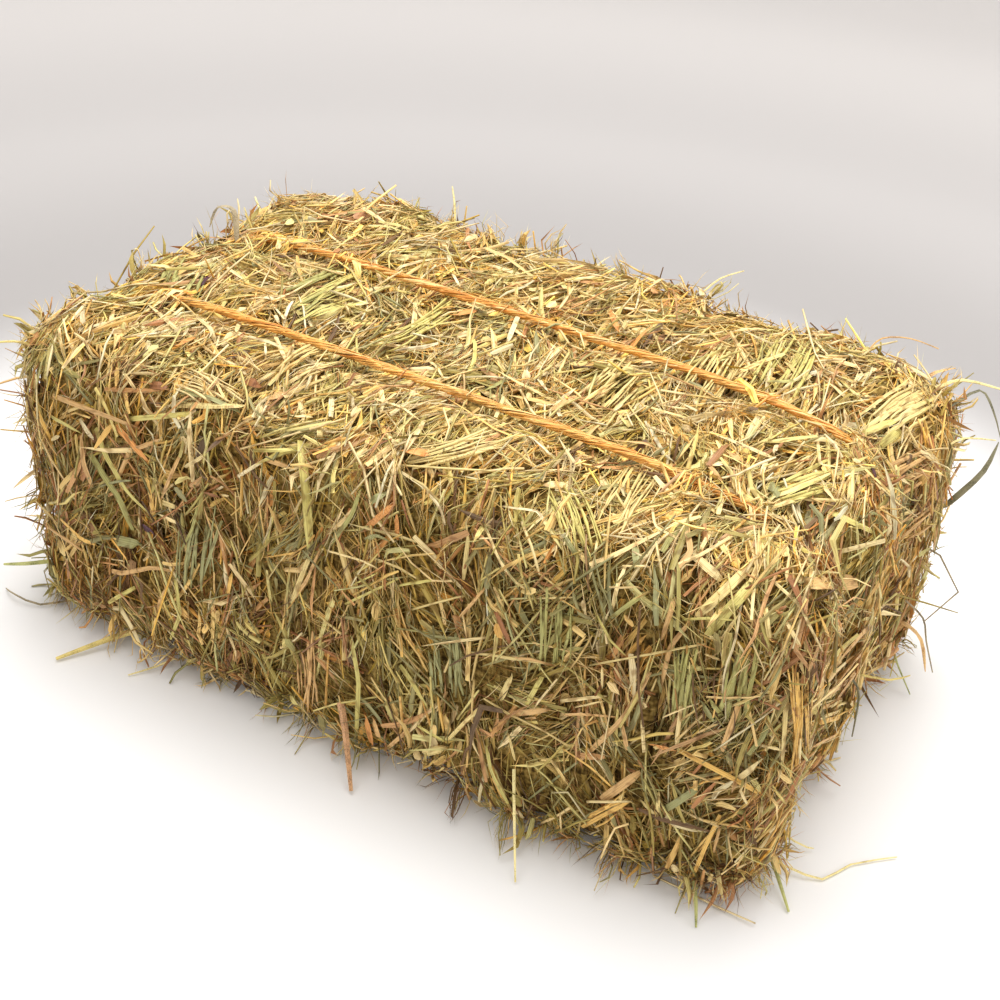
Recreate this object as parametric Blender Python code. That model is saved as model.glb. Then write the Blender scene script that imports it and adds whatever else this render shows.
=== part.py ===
# A small square bale of hay: nine pressed flakes side by side, two twines tied round them
# lengthwise, and the loose stalks and leaves that stand out of it. Metres, +Z up. X runs
# along the bale, Y across it, and the origin is the middle of the face that it rests on.

import math

import bmesh
import bpy
from mathutils import Vector, noise
from mathutils.bvhtree import BVHTree

# Driving dimensions of the pressed bale
LENGTH = 0.470
WIDTH = 0.297
HEIGHT = 0.188
END_FLAKE_THICKNESS = 0.064
MIDDLE_FLAKES = 7
FLAKE_GAP = 0.0004

# How square its edges are: the powers of the superellipses that round them
TOP_EDGE_POWER = 7.0
BOTTOM_EDGE_POWER = 13.0
END_EDGE_POWER = 10.0
PINCHED_EDGE_POWER = {1: 5.0, -1: 7.0}
BOTTOM_ROUNDING = 0.35
SETTLE = 0.0008
# A high power keeps steps and lumps to the middle of a side, and a low one spreads the rounding
SIDE_FALLOFF = 6
ROUNDING_FALLOFF = 3
SHARP_EDGE_DEGREES = 40

# The twines: where they lie across the width, and how the hay gives way under them
TWINE_Y = (-0.068, 0.031)
TWINE_RADIUS = 0.0023
TWINE_CLEARANCE = 0.0011
TWINE_TRACK = 0.0045
TOP_BED = 0.0022
BOTTOM_BED = 0.0058
BED_WIDTH = 0.019
PINCH_DEPTH = {1: 0.014, -1: 0.009}
PINCH_WIDTH = {1: 0.036, -1: 0.028}
FAR_END_SKEW = 0.034
LONGEST_STRAIGHT = 0.045

# The knots stand on the far end, in the hollow that each twine pulls into it
KNOT_RADII = (0.0058, 0.0062, 0.0085)
KNOT_HEIGHT = 0.104
TAIL_RADIUS = 0.0017
TAIL_REACH = ((-0.010, 0.016, -0.038), (-0.013, -0.021, -0.027))
TAIL_BOW = (-0.004, 0.0, 0.004)

# Hollows and bulges of the pressed hay, and the shallow seam between two flakes
LUMP_DEPTH = 0.0055
LUMP_SCALE = 17.0
SEAM_DEPTH = 0.0026
SHOULDER_DEPTH = 0.0004
MIDDLE_STATIONS = (
    (0.0, SEAM_DEPTH),
    (0.13, SHOULDER_DEPTH),
    (0.42, 0.0),
    (0.86, SHOULDER_DEPTH),
    (1.0, SEAM_DEPTH),
)
END_STATIONS = ((0.0, SEAM_DEPTH), (0.2, SHOULDER_DEPTH), (0.55, 0.0))

# How far each flake stands proud at the top, front and back, from the near end to the far end
TOP_STEPS = (0.000, 0.001, -0.001, 0.001, 0.000, -0.002, 0.001, 0.002, 0.000)
FRONT_STEPS = (-0.001, 0.002, 0.004, 0.003, 0.005, 0.002, 0.003, -0.001, 0.000)
BACK_STEPS = (-0.003, 0.000, 0.002, 0.003, 0.001, 0.003, 0.001, 0.002, -0.001)

HALF_LENGTH = LENGTH / 2
HALF_WIDTH = WIDTH / 2
HALF_HEIGHT = HEIGHT / 2
MIDDLE_END = HALF_LENGTH - END_FLAKE_THICKNESS
FLAKE_PITCH = 2 * MIDDLE_END / MIDDLE_FLAKES

# Stalks and leaves that stand out of the hay. Each has its width in millimetres, how many
# steps smooth each bend (1 leaves it kinked), and its points in millimetres. The first
# point lies in the hay, and the piece starts where its line comes out.
STALKS = {
    "corner_stem": (2.4, 3, ((208, 108, 176), (226, 122, 186), (247, 133, 182))),
    "arched_stem": (1.2, 3, ((165, 130, 176), (173, 142, 187), (187, 150, 188), (203, 156, 184))),
    "thin_stem": (1.4, 2, ((226, 84, 160), (240, 92, 168), (255, 98, 169))),
    "kinked_stem": (1.5, 1, ((228, 102, 88), (243, 103, 84), (259, 99, 67), (247, 83, 50))),
    "curled_stem": (1.4, 3, ((228, 76, 68), (247, 76, 57), (253, 71, 46), (262, 64, 32))),
    "low_stem": (1.5, 2, ((226, 88, 30), (240, 80, 16), (252, 76, 2))),
    "side_stem": (1.5, 2, ((224, -12, 68), (249, -2, 66), (258, 6, 68))),
    "drooping_stem": (1.5, 3, ((224, -20, 82), (240, -26, 68), (244, -38, 50))),
    "floor_stem": (1.5, 2, ((215, -105, 9), (240, -98, 4), (257, -93, 1), (266, -75, 1), (285, -56, 1))),
    "green_blade": (2.6, 2, ((216, -92, 16), (236, -107, 7), (250, -123, 1))),
    "forked_stem": (1.5, 2, ((214, -76, 9), (236, -80, 5), (246, -76, 2))),
    "foot_blade": (2.2, 2, ((198, -126, 12), (210, -148, 5), (215, -158, 1))),
    "reed": (4.2, 2, ((-4, -146, 50), (10, -162, 27), (24, -176, 2))),
    "hanging_stalk": (1.8, 3, ((100, -142, 58), (112, -162, 34), (127, -182, 1))),
    "resting_stalk": (4.4, 2, ((-140, -128, 16), (-160, -155, 6), (-176, -183, 2))),
    "wiry_stem": (1.6, 2, ((-196, -126, 6), (-219, -151, 2), (-235, -155, 5), (-248, -150, 1))),
    "hooked_blade": (3.0, 3, ((-205, -124, 28), (-226, -152, 30), (-240, -156, 26))),
    "side_straw": (1.6, 2, ((-110, -128, 10), (-124, -156, 3), (-134, -170, 1))),
    "top_wisp": (1.6, 3, ((-104, 120, 180), (-110, 128, 198), (-116, 134, 207))),
    "back_wisp": (1.4, 3, ((58, 134, 178), (68, 147, 192), (79, 156, 197))),
    "corner_wisp": (1.8, 3, ((-214, -120, 162), (-228, -140, 172), (-240, -147, 170))),
    "back_stalk": (2.2, 3, ((-60, 135, 122), (-54, 165, 128), (-40, 180, 134))),
    "back_straw": (2.0, 3, ((44, 135, 44), (48, 168, 36), (60, 188, 18))),
    "back_stem": (1.8, 3, ((130, 135, 96), (140, 164, 104), (158, 176, 108))),
    "back_reed": (3.4, 2, ((-150, 135, 66), (-160, 164, 62), (-174, 184, 46))),
    "far_stalk": (2.2, 3, ((-222, -100, 120), (-256, -106, 126), (-272, -118, 120))),
    "far_stem": (1.8, 3, ((-222, -12, 60), (-256, -6, 66), (-272, 8, 58))),
    "far_straw": (2.4, 3, ((-214, 100, 148), (-246, 106, 160), (-262, 118, 166))),
    "far_floor_stem": (2.0, 2, ((-214, -12, 12), (-250, -18, 5), (-276, -36, 1))),
}
LEAVES = {
    "brown_bit": (3.2, 2, ((204, 118, 176), (210, 126, 184), (219, 132, 187))),
    "olive_leaf": (4.8, 3, ((226, 112, 102), (240, 121, 114), (249, 135, 128), (251, 148, 142))),
    "olive_blade": (2.6, 3, ((218, 106, 168), (236, 124, 182), (246, 122, 174), (256, 118, 158))),
    "tan_leaf": (5.0, 3, ((228, 70, 44), (238, 76, 49), (249, 79, 40), (257, 73, 24))),
    "curled_leaf": (4.0, 4, ((-200, 20, 180), (-208, 27, 200), (-218, 24, 200), (-218, 16, 190))),
    "back_leaf": (4.6, 3, ((0, 134, 148), (6, 162, 160), (2, 178, 150))),
    "far_leaf": (4.6, 3, ((-216, 95, 62), (-248, 100, 58), (-262, 96, 44))),
}
STALK_THICKNESS = 0.85
LEAF_THICKNESS = 0.16
LEAST_THICKNESS = 0.0007
ROOT_GAP = 0.0006
STALK_SIDES = 5
LEAF_SIDES = 4

# Places round a section, each from -1 to 1: closer together beside the twines
BESIDE_TWINE = (-0.14, -0.05, 0.0, 0.05, 0.14)
ACROSS = sorted(
    [-1.0, -0.86, -0.7, sum(TWINE_Y) / WIDTH, 0.57, 0.72, 0.87, 1.0]
    + [place / HALF_WIDTH + offset for place in TWINE_Y for offset in BESIDE_TWINE]
)
UPWARD = [-1.0, -0.8, -0.45, 0.0, 0.45, 0.8, 1.0]


def clear_scene():
    for item in list(bpy.data.objects):
        bpy.data.objects.remove(item)


def plain_material(name, colour, roughness):
    material = bpy.data.materials.new(name)
    material.use_nodes = True
    shader = material.node_tree.nodes["Principled BSDF"]
    shader.inputs["Base Color"].default_value = (*colour, 1.0)
    shader.inputs["Roughness"].default_value = roughness
    shader.inputs["Metallic"].default_value = 0.0
    return material


def add_object(name, bm, material):
    bmesh.ops.recalc_face_normals(bm, faces=bm.faces)
    mesh = bpy.data.meshes.new(name)
    bm.to_mesh(mesh)
    bm.free()
    mesh.shade_smooth()
    mesh.set_sharp_from_angle(angle=math.radians(SHARP_EDGE_DEGREES))
    mesh.materials.append(material)
    item = bpy.data.objects.new(name, mesh)
    bpy.context.scene.collection.objects.link(item)
    return item


# The form of the bale, which the flakes share


def under_twine(y, width):
    """1 under a twine, falling to 0 at the given distance from it."""
    nearest = min(abs(y - place) for place in TWINE_Y)
    return max(0.0, 1 - (nearest / width) ** 2) ** 2


def end_reach(side, y):
    """How far the end reaches at y. Side is 1 for the near end, +X, and -1 for the far end."""
    reach = HALF_LENGTH - PINCH_DEPTH[side] * under_twine(y, PINCH_WIDTH[side])
    return reach if side > 0 else reach - FAR_END_SKEW * y


def end_power(side, y):
    """The power of the superellipse that rounds the bale off to its end at y."""
    lost = END_EDGE_POWER - PINCHED_EDGE_POWER[side]
    return END_EDGE_POWER - lost * under_twine(y, PINCH_WIDTH[side])


def rim_reach(side, y):
    """How far out the sides of the bale turn into its end."""
    return end_reach(side, y) * 0.5 ** (1 / end_power(side, y))


def lost_to_end(x, y):
    """How much of the full section has rounded away at x."""
    side = 1 if x > 0 else -1
    along = min(abs(x) / end_reach(side, y), 1.0)
    power = end_power(side, y)
    return 1 - (1 - along**power) ** (1 / power)


def swell(x, y, z):
    """Hollows and bulges of the hay, which a twine presses flat."""
    wave = noise.noise(Vector((x, y, z)) * LUMP_SCALE)
    return LUMP_DEPTH * wave * (1 - under_twine(y, BED_WIDTH))


def edge_share(u, v):
    """How far out the section reaches in the direction (u, v): 1 at the middle of a side."""
    longest = max(abs(u), abs(v))
    if longest == 0:
        return 1.0
    power = TOP_EDGE_POWER if v > 0 else BOTTOM_EDGE_POWER
    return (abs(u / longest) ** power + abs(v / longest) ** power) ** (-1 / power)


def section_point(u, v, x, flake, inset=0.0):
    """Y and Z of the place (u, v) of the section at x, with u and v from -1 to 1."""
    share = edge_share(u, v)
    lost = lost_to_end(x, HALF_WIDTH * u)
    y = HALF_WIDTH * u * share * (1 - lost * abs(u) ** ROUNDING_FALLOFF)
    if v <= 0:
        lost *= BOTTOM_ROUNDING
    z = HALF_HEIGHT * (1 + v * share * (1 - lost * abs(v) ** ROUNDING_FALLOFF))
    proud = swell(x, y, z) - inset
    steps = FRONT_STEPS if u < 0 else BACK_STEPS
    y += math.copysign(abs(u) ** SIDE_FALLOFF, u) * (proud + steps[flake])
    pressed = under_twine(y, BED_WIDTH)
    if v > 0:
        rise = proud + TOP_STEPS[flake] * (1 - pressed) - TOP_BED * pressed
        return y, z + v**SIDE_FALLOFF * rise
    return y, max(z - SETTLE, 0.0) + v**SIDE_FALLOFF * BOTTOM_BED * pressed


def end_point(u, v, side, flake):
    """A point of the end face, which bulges between the hollows under the twines."""
    rim_y = HALF_WIDTH * u
    y, z = section_point(u, v, side * rim_reach(side, rim_y), flake)
    outward = max(abs(u), abs(v))
    power = end_power(side, rim_y)
    x = end_reach(side, rim_y) * (1 - 0.5 * outward**power) ** (1 / power)
    x += swell(side * x, y, z) * (1 - outward**4)
    return side * x, y, z


def places_round_section():
    """The (column, row) places round the edge of the section."""
    last_column = len(ACROSS) - 1
    last_row = len(UPWARD) - 1
    places = [(column, 0) for column in range(last_column)]
    places += [(last_column, row) for row in range(last_row)]
    places += [(column, last_row) for column in range(last_column, 0, -1)]
    places += [(0, row) for row in range(last_row, 0, -1)]
    return places


def add_ring(bm, x_at, flake, inset):
    """One closed ring of vertices, at the x that x_at gives for each place across."""
    ring = []
    for column, row in places_round_section():
        u = ACROSS[column]
        x = x_at(HALF_WIDTH * u)
        y, z = section_point(u, UPWARD[row], x, flake, inset)
        ring.append(bm.verts.new((x, y, z)))
    return ring


def add_skin(bm, rings):
    for first, second in zip(rings, rings[1:]):
        for place in range(len(first)):
            after = (place + 1) % len(first)
            bm.faces.new((first[place], first[after], second[after], second[place]))


def middle_flake(name, index, material):
    """A slab with soft shoulders, so that a shallow seam shows beside its neighbours."""
    x_high = MIDDLE_END - (index - 1) * FLAKE_PITCH - FLAKE_GAP / 2
    thickness = FLAKE_PITCH - FLAKE_GAP
    bm = bmesh.new()
    rings = []
    for share, inset in MIDDLE_STATIONS:
        x = x_high - share * thickness
        rings.append(add_ring(bm, lambda _: x, index, inset))
    add_skin(bm, rings)
    bm.faces.new(rings[0])
    bm.faces.new(rings[-1])
    return add_object(name, bm, material)


def end_flake(name, index, side, material):
    """The last flake at either end. Its outer face is rounded, and hollow under the twines."""
    inner = MIDDLE_END + FLAKE_GAP / 2
    bm = bmesh.new()
    rings = []
    for share, inset in END_STATIONS:
        rings.append(
            add_ring(
                bm,
                lambda y: side * (inner + share * (rim_reach(side, y) - inner)),
                index,
                inset,
            )
        )
    bm.faces.new(rings[0])
    face = {}
    for column, u in enumerate(ACROSS):
        for row, v in enumerate(UPWARD):
            face[column, row] = bm.verts.new(end_point(u, v, side, index))
    rings.append([face[place] for place in places_round_section()])
    add_skin(bm, rings)
    for column in range(len(ACROSS) - 1):
        for row in range(len(UPWARD) - 1):
            corners = (column, row), (column + 1, row), (column + 1, row + 1), (column, row + 1)
            bm.faces.new([face[corner] for corner in corners])
    return add_object(name, bm, material)


def make_flakes():
    """The flakes in order from the near end, +X, to the far end."""
    material = plain_material("pressed_hay", (0.42, 0.36, 0.16), 0.85)
    flakes = [end_flake("flake_1", 0, 1, material)]
    for index in range(1, MIDDLE_FLAKES + 1):
        flakes.append(middle_flake(f"flake_{index + 1}", index, material))
    flakes.append(end_flake(f"flake_{MIDDLE_FLAKES + 2}", MIDDLE_FLAKES + 1, -1, material))
    return flakes


# The twines, each a closed loop drawn tight round the flakes


def turn(before, here, after):
    """Above 0 where the way before, here, after turns left."""
    first = Vector(here) - Vector(before)
    return first.cross(Vector(after) - Vector(here))


def outer_hull(points):
    """The corners that a tight loop round the points rests on, anticlockwise."""
    ordered = sorted(set(points))
    hull = []
    for run in (ordered, ordered[::-1]):
        side = []
        for point in run:
            while len(side) > 1 and turn(side[-2], side[-1], point) <= 0:
                side.pop()
            side.append(point)
        hull += side[:-1]
    return hull


def twine_route(flakes, y):
    """The middle line of the twine at y, which lies its own radius off the hull of the flakes."""
    points = []
    for flake in flakes:
        for vertex in flake.data.vertices:
            if abs(vertex.co.y - y) < TWINE_TRACK:
                points.append((vertex.co.x, vertex.co.z))
    hull = outer_hull(points)
    stand_off = TWINE_RADIUS + TWINE_CLEARANCE
    route = []
    for place, corner in enumerate(hull):
        here = Vector(corner)
        for start, end in ((hull[place - 1], corner), (corner, hull[(place + 1) % len(hull)])):
            run = (Vector(end) - Vector(start)).normalized()
            route.append(here + Vector((run.y, -run.x)) * stand_off)
    loop = []
    for here, after in zip(route, route[1:] + route[:1]):
        pieces = max(1, math.ceil((after - here).length / LONGEST_STRAIGHT))
        for piece in range(pieces):
            spot = here.lerp(after, piece / pieces)
            loop.append(Vector((spot.x, y, spot.y)))
    return loop


def tube(name, points, radius, closed, material):
    """A round cord through the points."""
    curve = bpy.data.curves.new(name, "CURVE")
    curve.dimensions = "3D"
    curve.bevel_depth = radius
    curve.bevel_resolution = 1
    curve.use_fill_caps = not closed
    spline = curve.splines.new("POLY")
    spline.points.add(len(points) - 1)
    for place, point in enumerate(points):
        spline.points[place].co = (*point, 1.0)
    spline.use_cyclic_u = closed
    holder = bpy.data.objects.new(name, curve)
    bpy.context.scene.collection.objects.link(holder)
    mesh = bpy.data.meshes.new_from_object(holder)
    bpy.data.objects.remove(holder)
    bm = bmesh.new()
    bm.from_mesh(mesh)
    bmesh.ops.remove_doubles(bm, verts=bm.verts, dist=0.00001)
    return add_object(name, bm, material)


def join_to(item, other):
    """Joins other to item as one solid, and leaves other as a hidden helper."""
    union = item.modifiers.new(other.name, "BOOLEAN")
    union.operation = "UNION"
    union.solver = "EXACT"
    union.object = other
    other.hide_render = True
    other.display_type = "WIRE"


def make_twine(name, flakes, y, material):
    route = twine_route(flakes, y)
    twine = tube(name, route, TWINE_RADIUS, True, material)
    far_side = [point for point in route if point.x < -MIDDLE_END]
    nearest = min(far_side, key=lambda point: abs(point.z - KNOT_HEIGHT))
    centre = Vector((nearest.x - KNOT_RADII[0] + TWINE_RADIUS, y, KNOT_HEIGHT))
    bm = bmesh.new()
    bmesh.ops.create_icosphere(bm, subdivisions=2, radius=1.0)
    bmesh.ops.scale(bm, verts=bm.verts, vec=KNOT_RADII)
    bmesh.ops.translate(bm, verts=bm.verts, vec=centre)
    join_to(twine, add_object(f"{name}_knot", bm, material))
    for count, reach in enumerate(TAIL_REACH):
        end = centre + Vector(reach)
        middle = centre.lerp(end, 0.5) + Vector(TAIL_BOW)
        tail = [centre, middle, end]
        join_to(twine, tube(f"{name}_tail_{count + 1}", tail, TAIL_RADIUS, False, material))


def make_twines(flakes):
    material = plain_material("twine", (0.85, 0.45, 0.12), 0.6)
    for count, y in enumerate(TWINE_Y):
        make_twine(f"twine_{count + 1}", flakes, y, material)


# The stalks and leaves that stand out of the hay


def hay_surface(flakes):
    """The faces of all flakes, to find where a stalk comes out."""
    vertices = []
    polygons = []
    for flake in flakes:
        first = len(vertices)
        vertices += [vertex.co.copy() for vertex in flake.data.vertices]
        polygons += [[first + corner for corner in face.vertices] for face in flake.data.polygons]
    return BVHTree.FromPolygons(vertices, polygons)


def smooth_line(points, steps):
    """Points along a curve through all of the given ones."""
    padded = [points[0], *points, points[-1]]
    line = []
    for place in range(1, len(padded) - 2):
        before, start, end, after = padded[place - 1 : place + 3]
        for step in range(steps):
            t = step / steps
            bend = (end - before) * t + (2 * before - 5 * start + 4 * end - after) * t**2
            bend += (3 * start - before - 3 * end + after) * t**3
            line.append(start + bend / 2)
    return line + [points[-1]]


def stalk_width(share):
    """A stalk's width along it, in shares of its full width: it thins towards its tip."""
    return 1 - 0.5 * share**2


def leaf_width(share):
    """A leaf is widest a third of the way along, and ends in a point."""
    return 0.12 + 0.88 * math.sin(math.pi * (0.12 + 0.88 * share) ** 0.8)


def add_stalk(name, shape, hay, width_at, thickness, sides, material):
    width, steps, places = shape
    points = [Vector(place) / 1000 for place in places]
    width /= 1000
    inward = (points[0] - points[1]).normalized()
    root, normal, _, _ = hay.ray_cast(points[1], inward)
    points[0] = root + normal * (width / 2 + ROOT_GAP)
    line = smooth_line(points, steps)
    bm = bmesh.new()
    rings = []
    for place, spot in enumerate(line):
        along = (line[min(place + 1, len(line) - 1)] - line[max(place - 1, 0)]).normalized()
        across = along.cross(Vector((0, 0, 1))).normalized()
        up = across.cross(along)
        half_width = width / 2 * width_at(place / (len(line) - 1))
        half_depth = max(half_width * thickness, LEAST_THICKNESS / 2)
        ring = []
        for corner in range(sides):
            angle = 2 * math.pi * corner / sides
            offset = across * math.cos(angle) * half_width + up * math.sin(angle) * half_depth
            ring.append(bm.verts.new(spot + offset))
        rings.append(ring)
    add_skin(bm, rings)
    bm.faces.new(rings[0])
    bm.faces.new(rings[-1])
    add_object(name, bm, material)


def make_stalks(flakes):
    hay = hay_surface(flakes)
    straw = plain_material("stalk", (0.66, 0.58, 0.30), 0.5)
    leaf = plain_material("leaf", (0.40, 0.38, 0.18), 0.6)
    for name, shape in STALKS.items():
        add_stalk(name, shape, hay, stalk_width, STALK_THICKNESS, STALK_SIDES, straw)
    for name, shape in LEAVES.items():
        add_stalk(name, shape, hay, leaf_width, LEAF_THICKNESS, LEAF_SIDES, leaf)


def main():
    clear_scene()
    flakes = make_flakes()
    make_twines(flakes)
    make_stalks(flakes)


main()
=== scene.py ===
import math

import bmesh
import bpy
import numpy as np
from mathutils import Matrix, Vector
from mathutils.bvhtree import BVHTree


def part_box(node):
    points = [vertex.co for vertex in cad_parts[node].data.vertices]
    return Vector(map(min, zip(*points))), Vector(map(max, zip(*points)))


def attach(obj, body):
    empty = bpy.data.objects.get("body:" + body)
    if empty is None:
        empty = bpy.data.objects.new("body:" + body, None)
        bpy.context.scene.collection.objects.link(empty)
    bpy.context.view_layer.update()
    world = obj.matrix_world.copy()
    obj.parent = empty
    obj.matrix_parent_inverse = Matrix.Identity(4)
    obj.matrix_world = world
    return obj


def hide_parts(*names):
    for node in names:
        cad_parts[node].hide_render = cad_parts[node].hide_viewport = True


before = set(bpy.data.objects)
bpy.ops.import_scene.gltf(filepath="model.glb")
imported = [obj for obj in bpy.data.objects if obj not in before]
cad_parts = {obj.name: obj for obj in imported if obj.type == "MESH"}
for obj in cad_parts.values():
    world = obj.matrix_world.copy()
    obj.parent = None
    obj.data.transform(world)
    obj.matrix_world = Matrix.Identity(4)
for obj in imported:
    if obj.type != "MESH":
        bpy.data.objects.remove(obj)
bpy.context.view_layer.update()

MM = 0.001

# The studio. A seamless white board curves up all round the bale, its colour holding painted shade:
# white next to the bale, dark grey in a ring about half a metre out and lighter grey beyond. A wide
# soft box hangs above it and weaker ones stand to its right and in front. The camera stands above
# the near corner.

CAMERA_PLACE = (0.342362, -0.658274, 0.568478)
CAMERA_YAW = 27.02
CAMERA_PITCH = 33.19
CAMERA_ROLL = 5.09
CAMERA_LENS = 54.0
SENSOR_WIDTH = 36.0
BOARD_PROFILE = ((0.0, 0.0), (0.9, 0.0), (1.5, 0.02), (2.0, 0.16), (2.4, 0.5), (2.6, 1.1), (2.65, 2.2))
BOARD_STEPS = 64
BOARD_DROP = 0.0003
# Where the board's painted shade starts to grey it, and where it ends
PAINTED_SHADE_FROM = 0.34
PAINTED_SHADE_TO = 1.36


def deselect_all():
    """Nothing is selected, so that the next operator acts on its own piece alone."""
    if bpy.context.mode != "OBJECT":
        bpy.ops.object.mode_set(mode="OBJECT")
    bpy.ops.object.select_all(action="DESELECT")


def pick(test):
    """In edit mode, selects the points whose places pass the test."""
    bpy.ops.mesh.select_all(action="DESELECT")
    shape = bmesh.from_edit_mesh(bpy.context.object.data)
    for point in shape.verts:
        point.select_set(bool(test(point.co)))
    shape.select_flush(True)
    bmesh.update_edit_mesh(bpy.context.object.data)


def new_material(name):
    """A material, its shader and a maker of further nodes with their settings."""
    material = bpy.data.materials.new(name)
    material.use_nodes = True
    tree = material.node_tree
    shader = tree.nodes["Principled BSDF"]

    def add(kind, inputs=(), **settings):
        node = tree.nodes.new(kind)
        for setting, value in settings.items():
            setattr(node, setting, value)
        for socket, value in dict(inputs).items():
            if isinstance(value, bpy.types.NodeSocket):
                tree.links.new(value, node.inputs[socket])
            else:
                node.inputs[socket].default_value = value
        return node

    return material, shader, add, tree.links.new


def ramp(node, stops):
    """Gives a colour ramp its stops: (place, (red, green, blue)) each."""
    elements = node.color_ramp.elements
    while len(elements) < len(stops):
        elements.new(0.5)
    for element, (place, colour) in zip(elements, stops):
        element.position = place
        element.color = (*colour, 1.0)


bpy.context.scene.view_settings.view_transform = "Standard"

deselect_all()
bpy.ops.object.camera_add()
camera = bpy.context.object
camera.name = "camera"
camera.data.lens = CAMERA_LENS
camera.data.sensor_width = SENSOR_WIDTH
camera.matrix_world = (
    Matrix.Translation(CAMERA_PLACE)
    @ Matrix.Rotation(math.radians(CAMERA_YAW), 4, "Z")
    @ Matrix.Rotation(math.radians(90 - CAMERA_PITCH), 4, "X")
    @ Matrix.Rotation(math.radians(CAMERA_ROLL), 4, "Z")
)
bpy.context.scene.camera = camera

deselect_all()
profile = bpy.data.meshes.new("board")
profile.from_pydata(
    [(reach, 0.0, height - BOARD_DROP) for reach, height in BOARD_PROFILE],
    [(place, place + 1) for place in range(len(BOARD_PROFILE) - 1)],
    [],
)
board = bpy.data.objects.new("board", profile)
bpy.context.scene.collection.objects.link(board)
bpy.context.view_layer.objects.active = board
board.select_set(True)
bpy.ops.object.mode_set(mode="EDIT")
bpy.ops.mesh.select_all(action="SELECT")
bpy.ops.mesh.spin(steps=BOARD_STEPS, angle=math.tau, center=(0, 0, 0), axis=(0, 0, 1))
bpy.ops.mesh.select_all(action="SELECT")
bpy.ops.mesh.remove_doubles(threshold=0.0001)
bpy.ops.mesh.normals_make_consistent(inside=True)
bpy.ops.object.mode_set(mode="OBJECT")
bpy.ops.object.shade_smooth()

board_paper, shader, add, link = new_material("board_with_painted_shade")
coords = add("ShaderNodeTexCoord")
from_middle = add("ShaderNodeVectorMath", {0: coords.outputs["Object"]}, operation="LENGTH")
painted_shade_fall_off = add("ShaderNodeMapRange", {"Value": from_middle.outputs["Value"],
                                      "From Min": PAINTED_SHADE_FROM, "From Max": PAINTED_SHADE_TO})
# The board's colour is painted shade: white by the bale, darkest grey about half a metre out, lighter grey
# further away
shade = add("ShaderNodeValToRGB", {"Fac": painted_shade_fall_off.outputs["Result"]})
shade.color_ramp.interpolation = "EASE"
ramp(shade, [(0.0, (0.86, 0.855, 0.85)), (0.2, (0.395, 0.378, 0.37)), (0.55, (0.52, 0.50, 0.49)),
             (1.0, (0.68, 0.655, 0.64))])
link(shade.outputs["Color"], shader.inputs["Base Color"])
shader.inputs["Roughness"].default_value = 0.9
shader.inputs["Specular IOR Level"].default_value = 0.0
board.data.materials.append(board_paper)

SOFT_BOXES = (
    ("overhead_box", (-0.1, 0.25, 1.35), (0.0, 0.0, 0.1), 1.2, 22.0),
    ("right_box", (1.5, 0.1, 0.75), (0.0, 0.0, 0.1), 0.8, 5.8),
    ("front_box", (0.2, -1.7, 0.8), (0.0, 0.0, 0.1), 1.0, 6.3),
)
for name, place, target, size, power in SOFT_BOXES:
    deselect_all()
    bpy.ops.object.light_add(type="AREA", location=place)
    lamp = bpy.context.object
    lamp.name = name
    lamp.data.size = size
    lamp.data.energy = power
    lamp.rotation_euler = (Vector(target) - Vector(place)).to_track_quat("-Z", "Y").to_euler()

world = bpy.data.worlds.new("room")
world.use_nodes = True
world.node_tree.nodes["Background"].inputs["Color"].default_value = (1.0, 0.98, 0.955, 1.0)
world.node_tree.nodes["Background"].inputs["Strength"].default_value = 0.86
bpy.context.scene.world = world

# The loose hay that every flake is made of, one model of each kind: a fine fibre drawn to a point,
# a stem with a joint in it, a folded blade of grass and a crumpled scrap of leaf. Each is
# modelled one unit long and wide along X, and is copied, bent and sized when it is laid.

HAIR_CUTS = (0.05,)
FIBRE_CUTS = (-0.2, 0.18)
STEM_CUTS = (-0.2, 0.2)
BLADE_CUTS = (-0.22, 0.16)
CAP_SHARE = 0.06


def start_strand(sides, cuts):
    """A closed round strand in edit mode, lying along X and cut where it will bend."""
    deselect_all()
    bpy.ops.mesh.primitive_cylinder_add(vertices=sides, radius=0.5, depth=1.0, rotation=(0, math.pi / 2, 0))
    bpy.ops.object.transform_apply(rotation=True)
    bpy.ops.object.mode_set(mode="EDIT")
    bpy.context.tool_settings.mesh_select_mode = (True, False, False)
    for place in cuts:
        bpy.ops.mesh.select_all(action="SELECT")
        bpy.ops.mesh.bisect(plane_co=(place, 0, 0), plane_no=(1, 0, 0))


def size_at(test, value, centre=(0, 0, 0)):
    """Makes the picked points narrower or wider about a centre."""
    pick(test)
    bpy.ops.transform.resize(value=value, center_override=centre)


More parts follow.
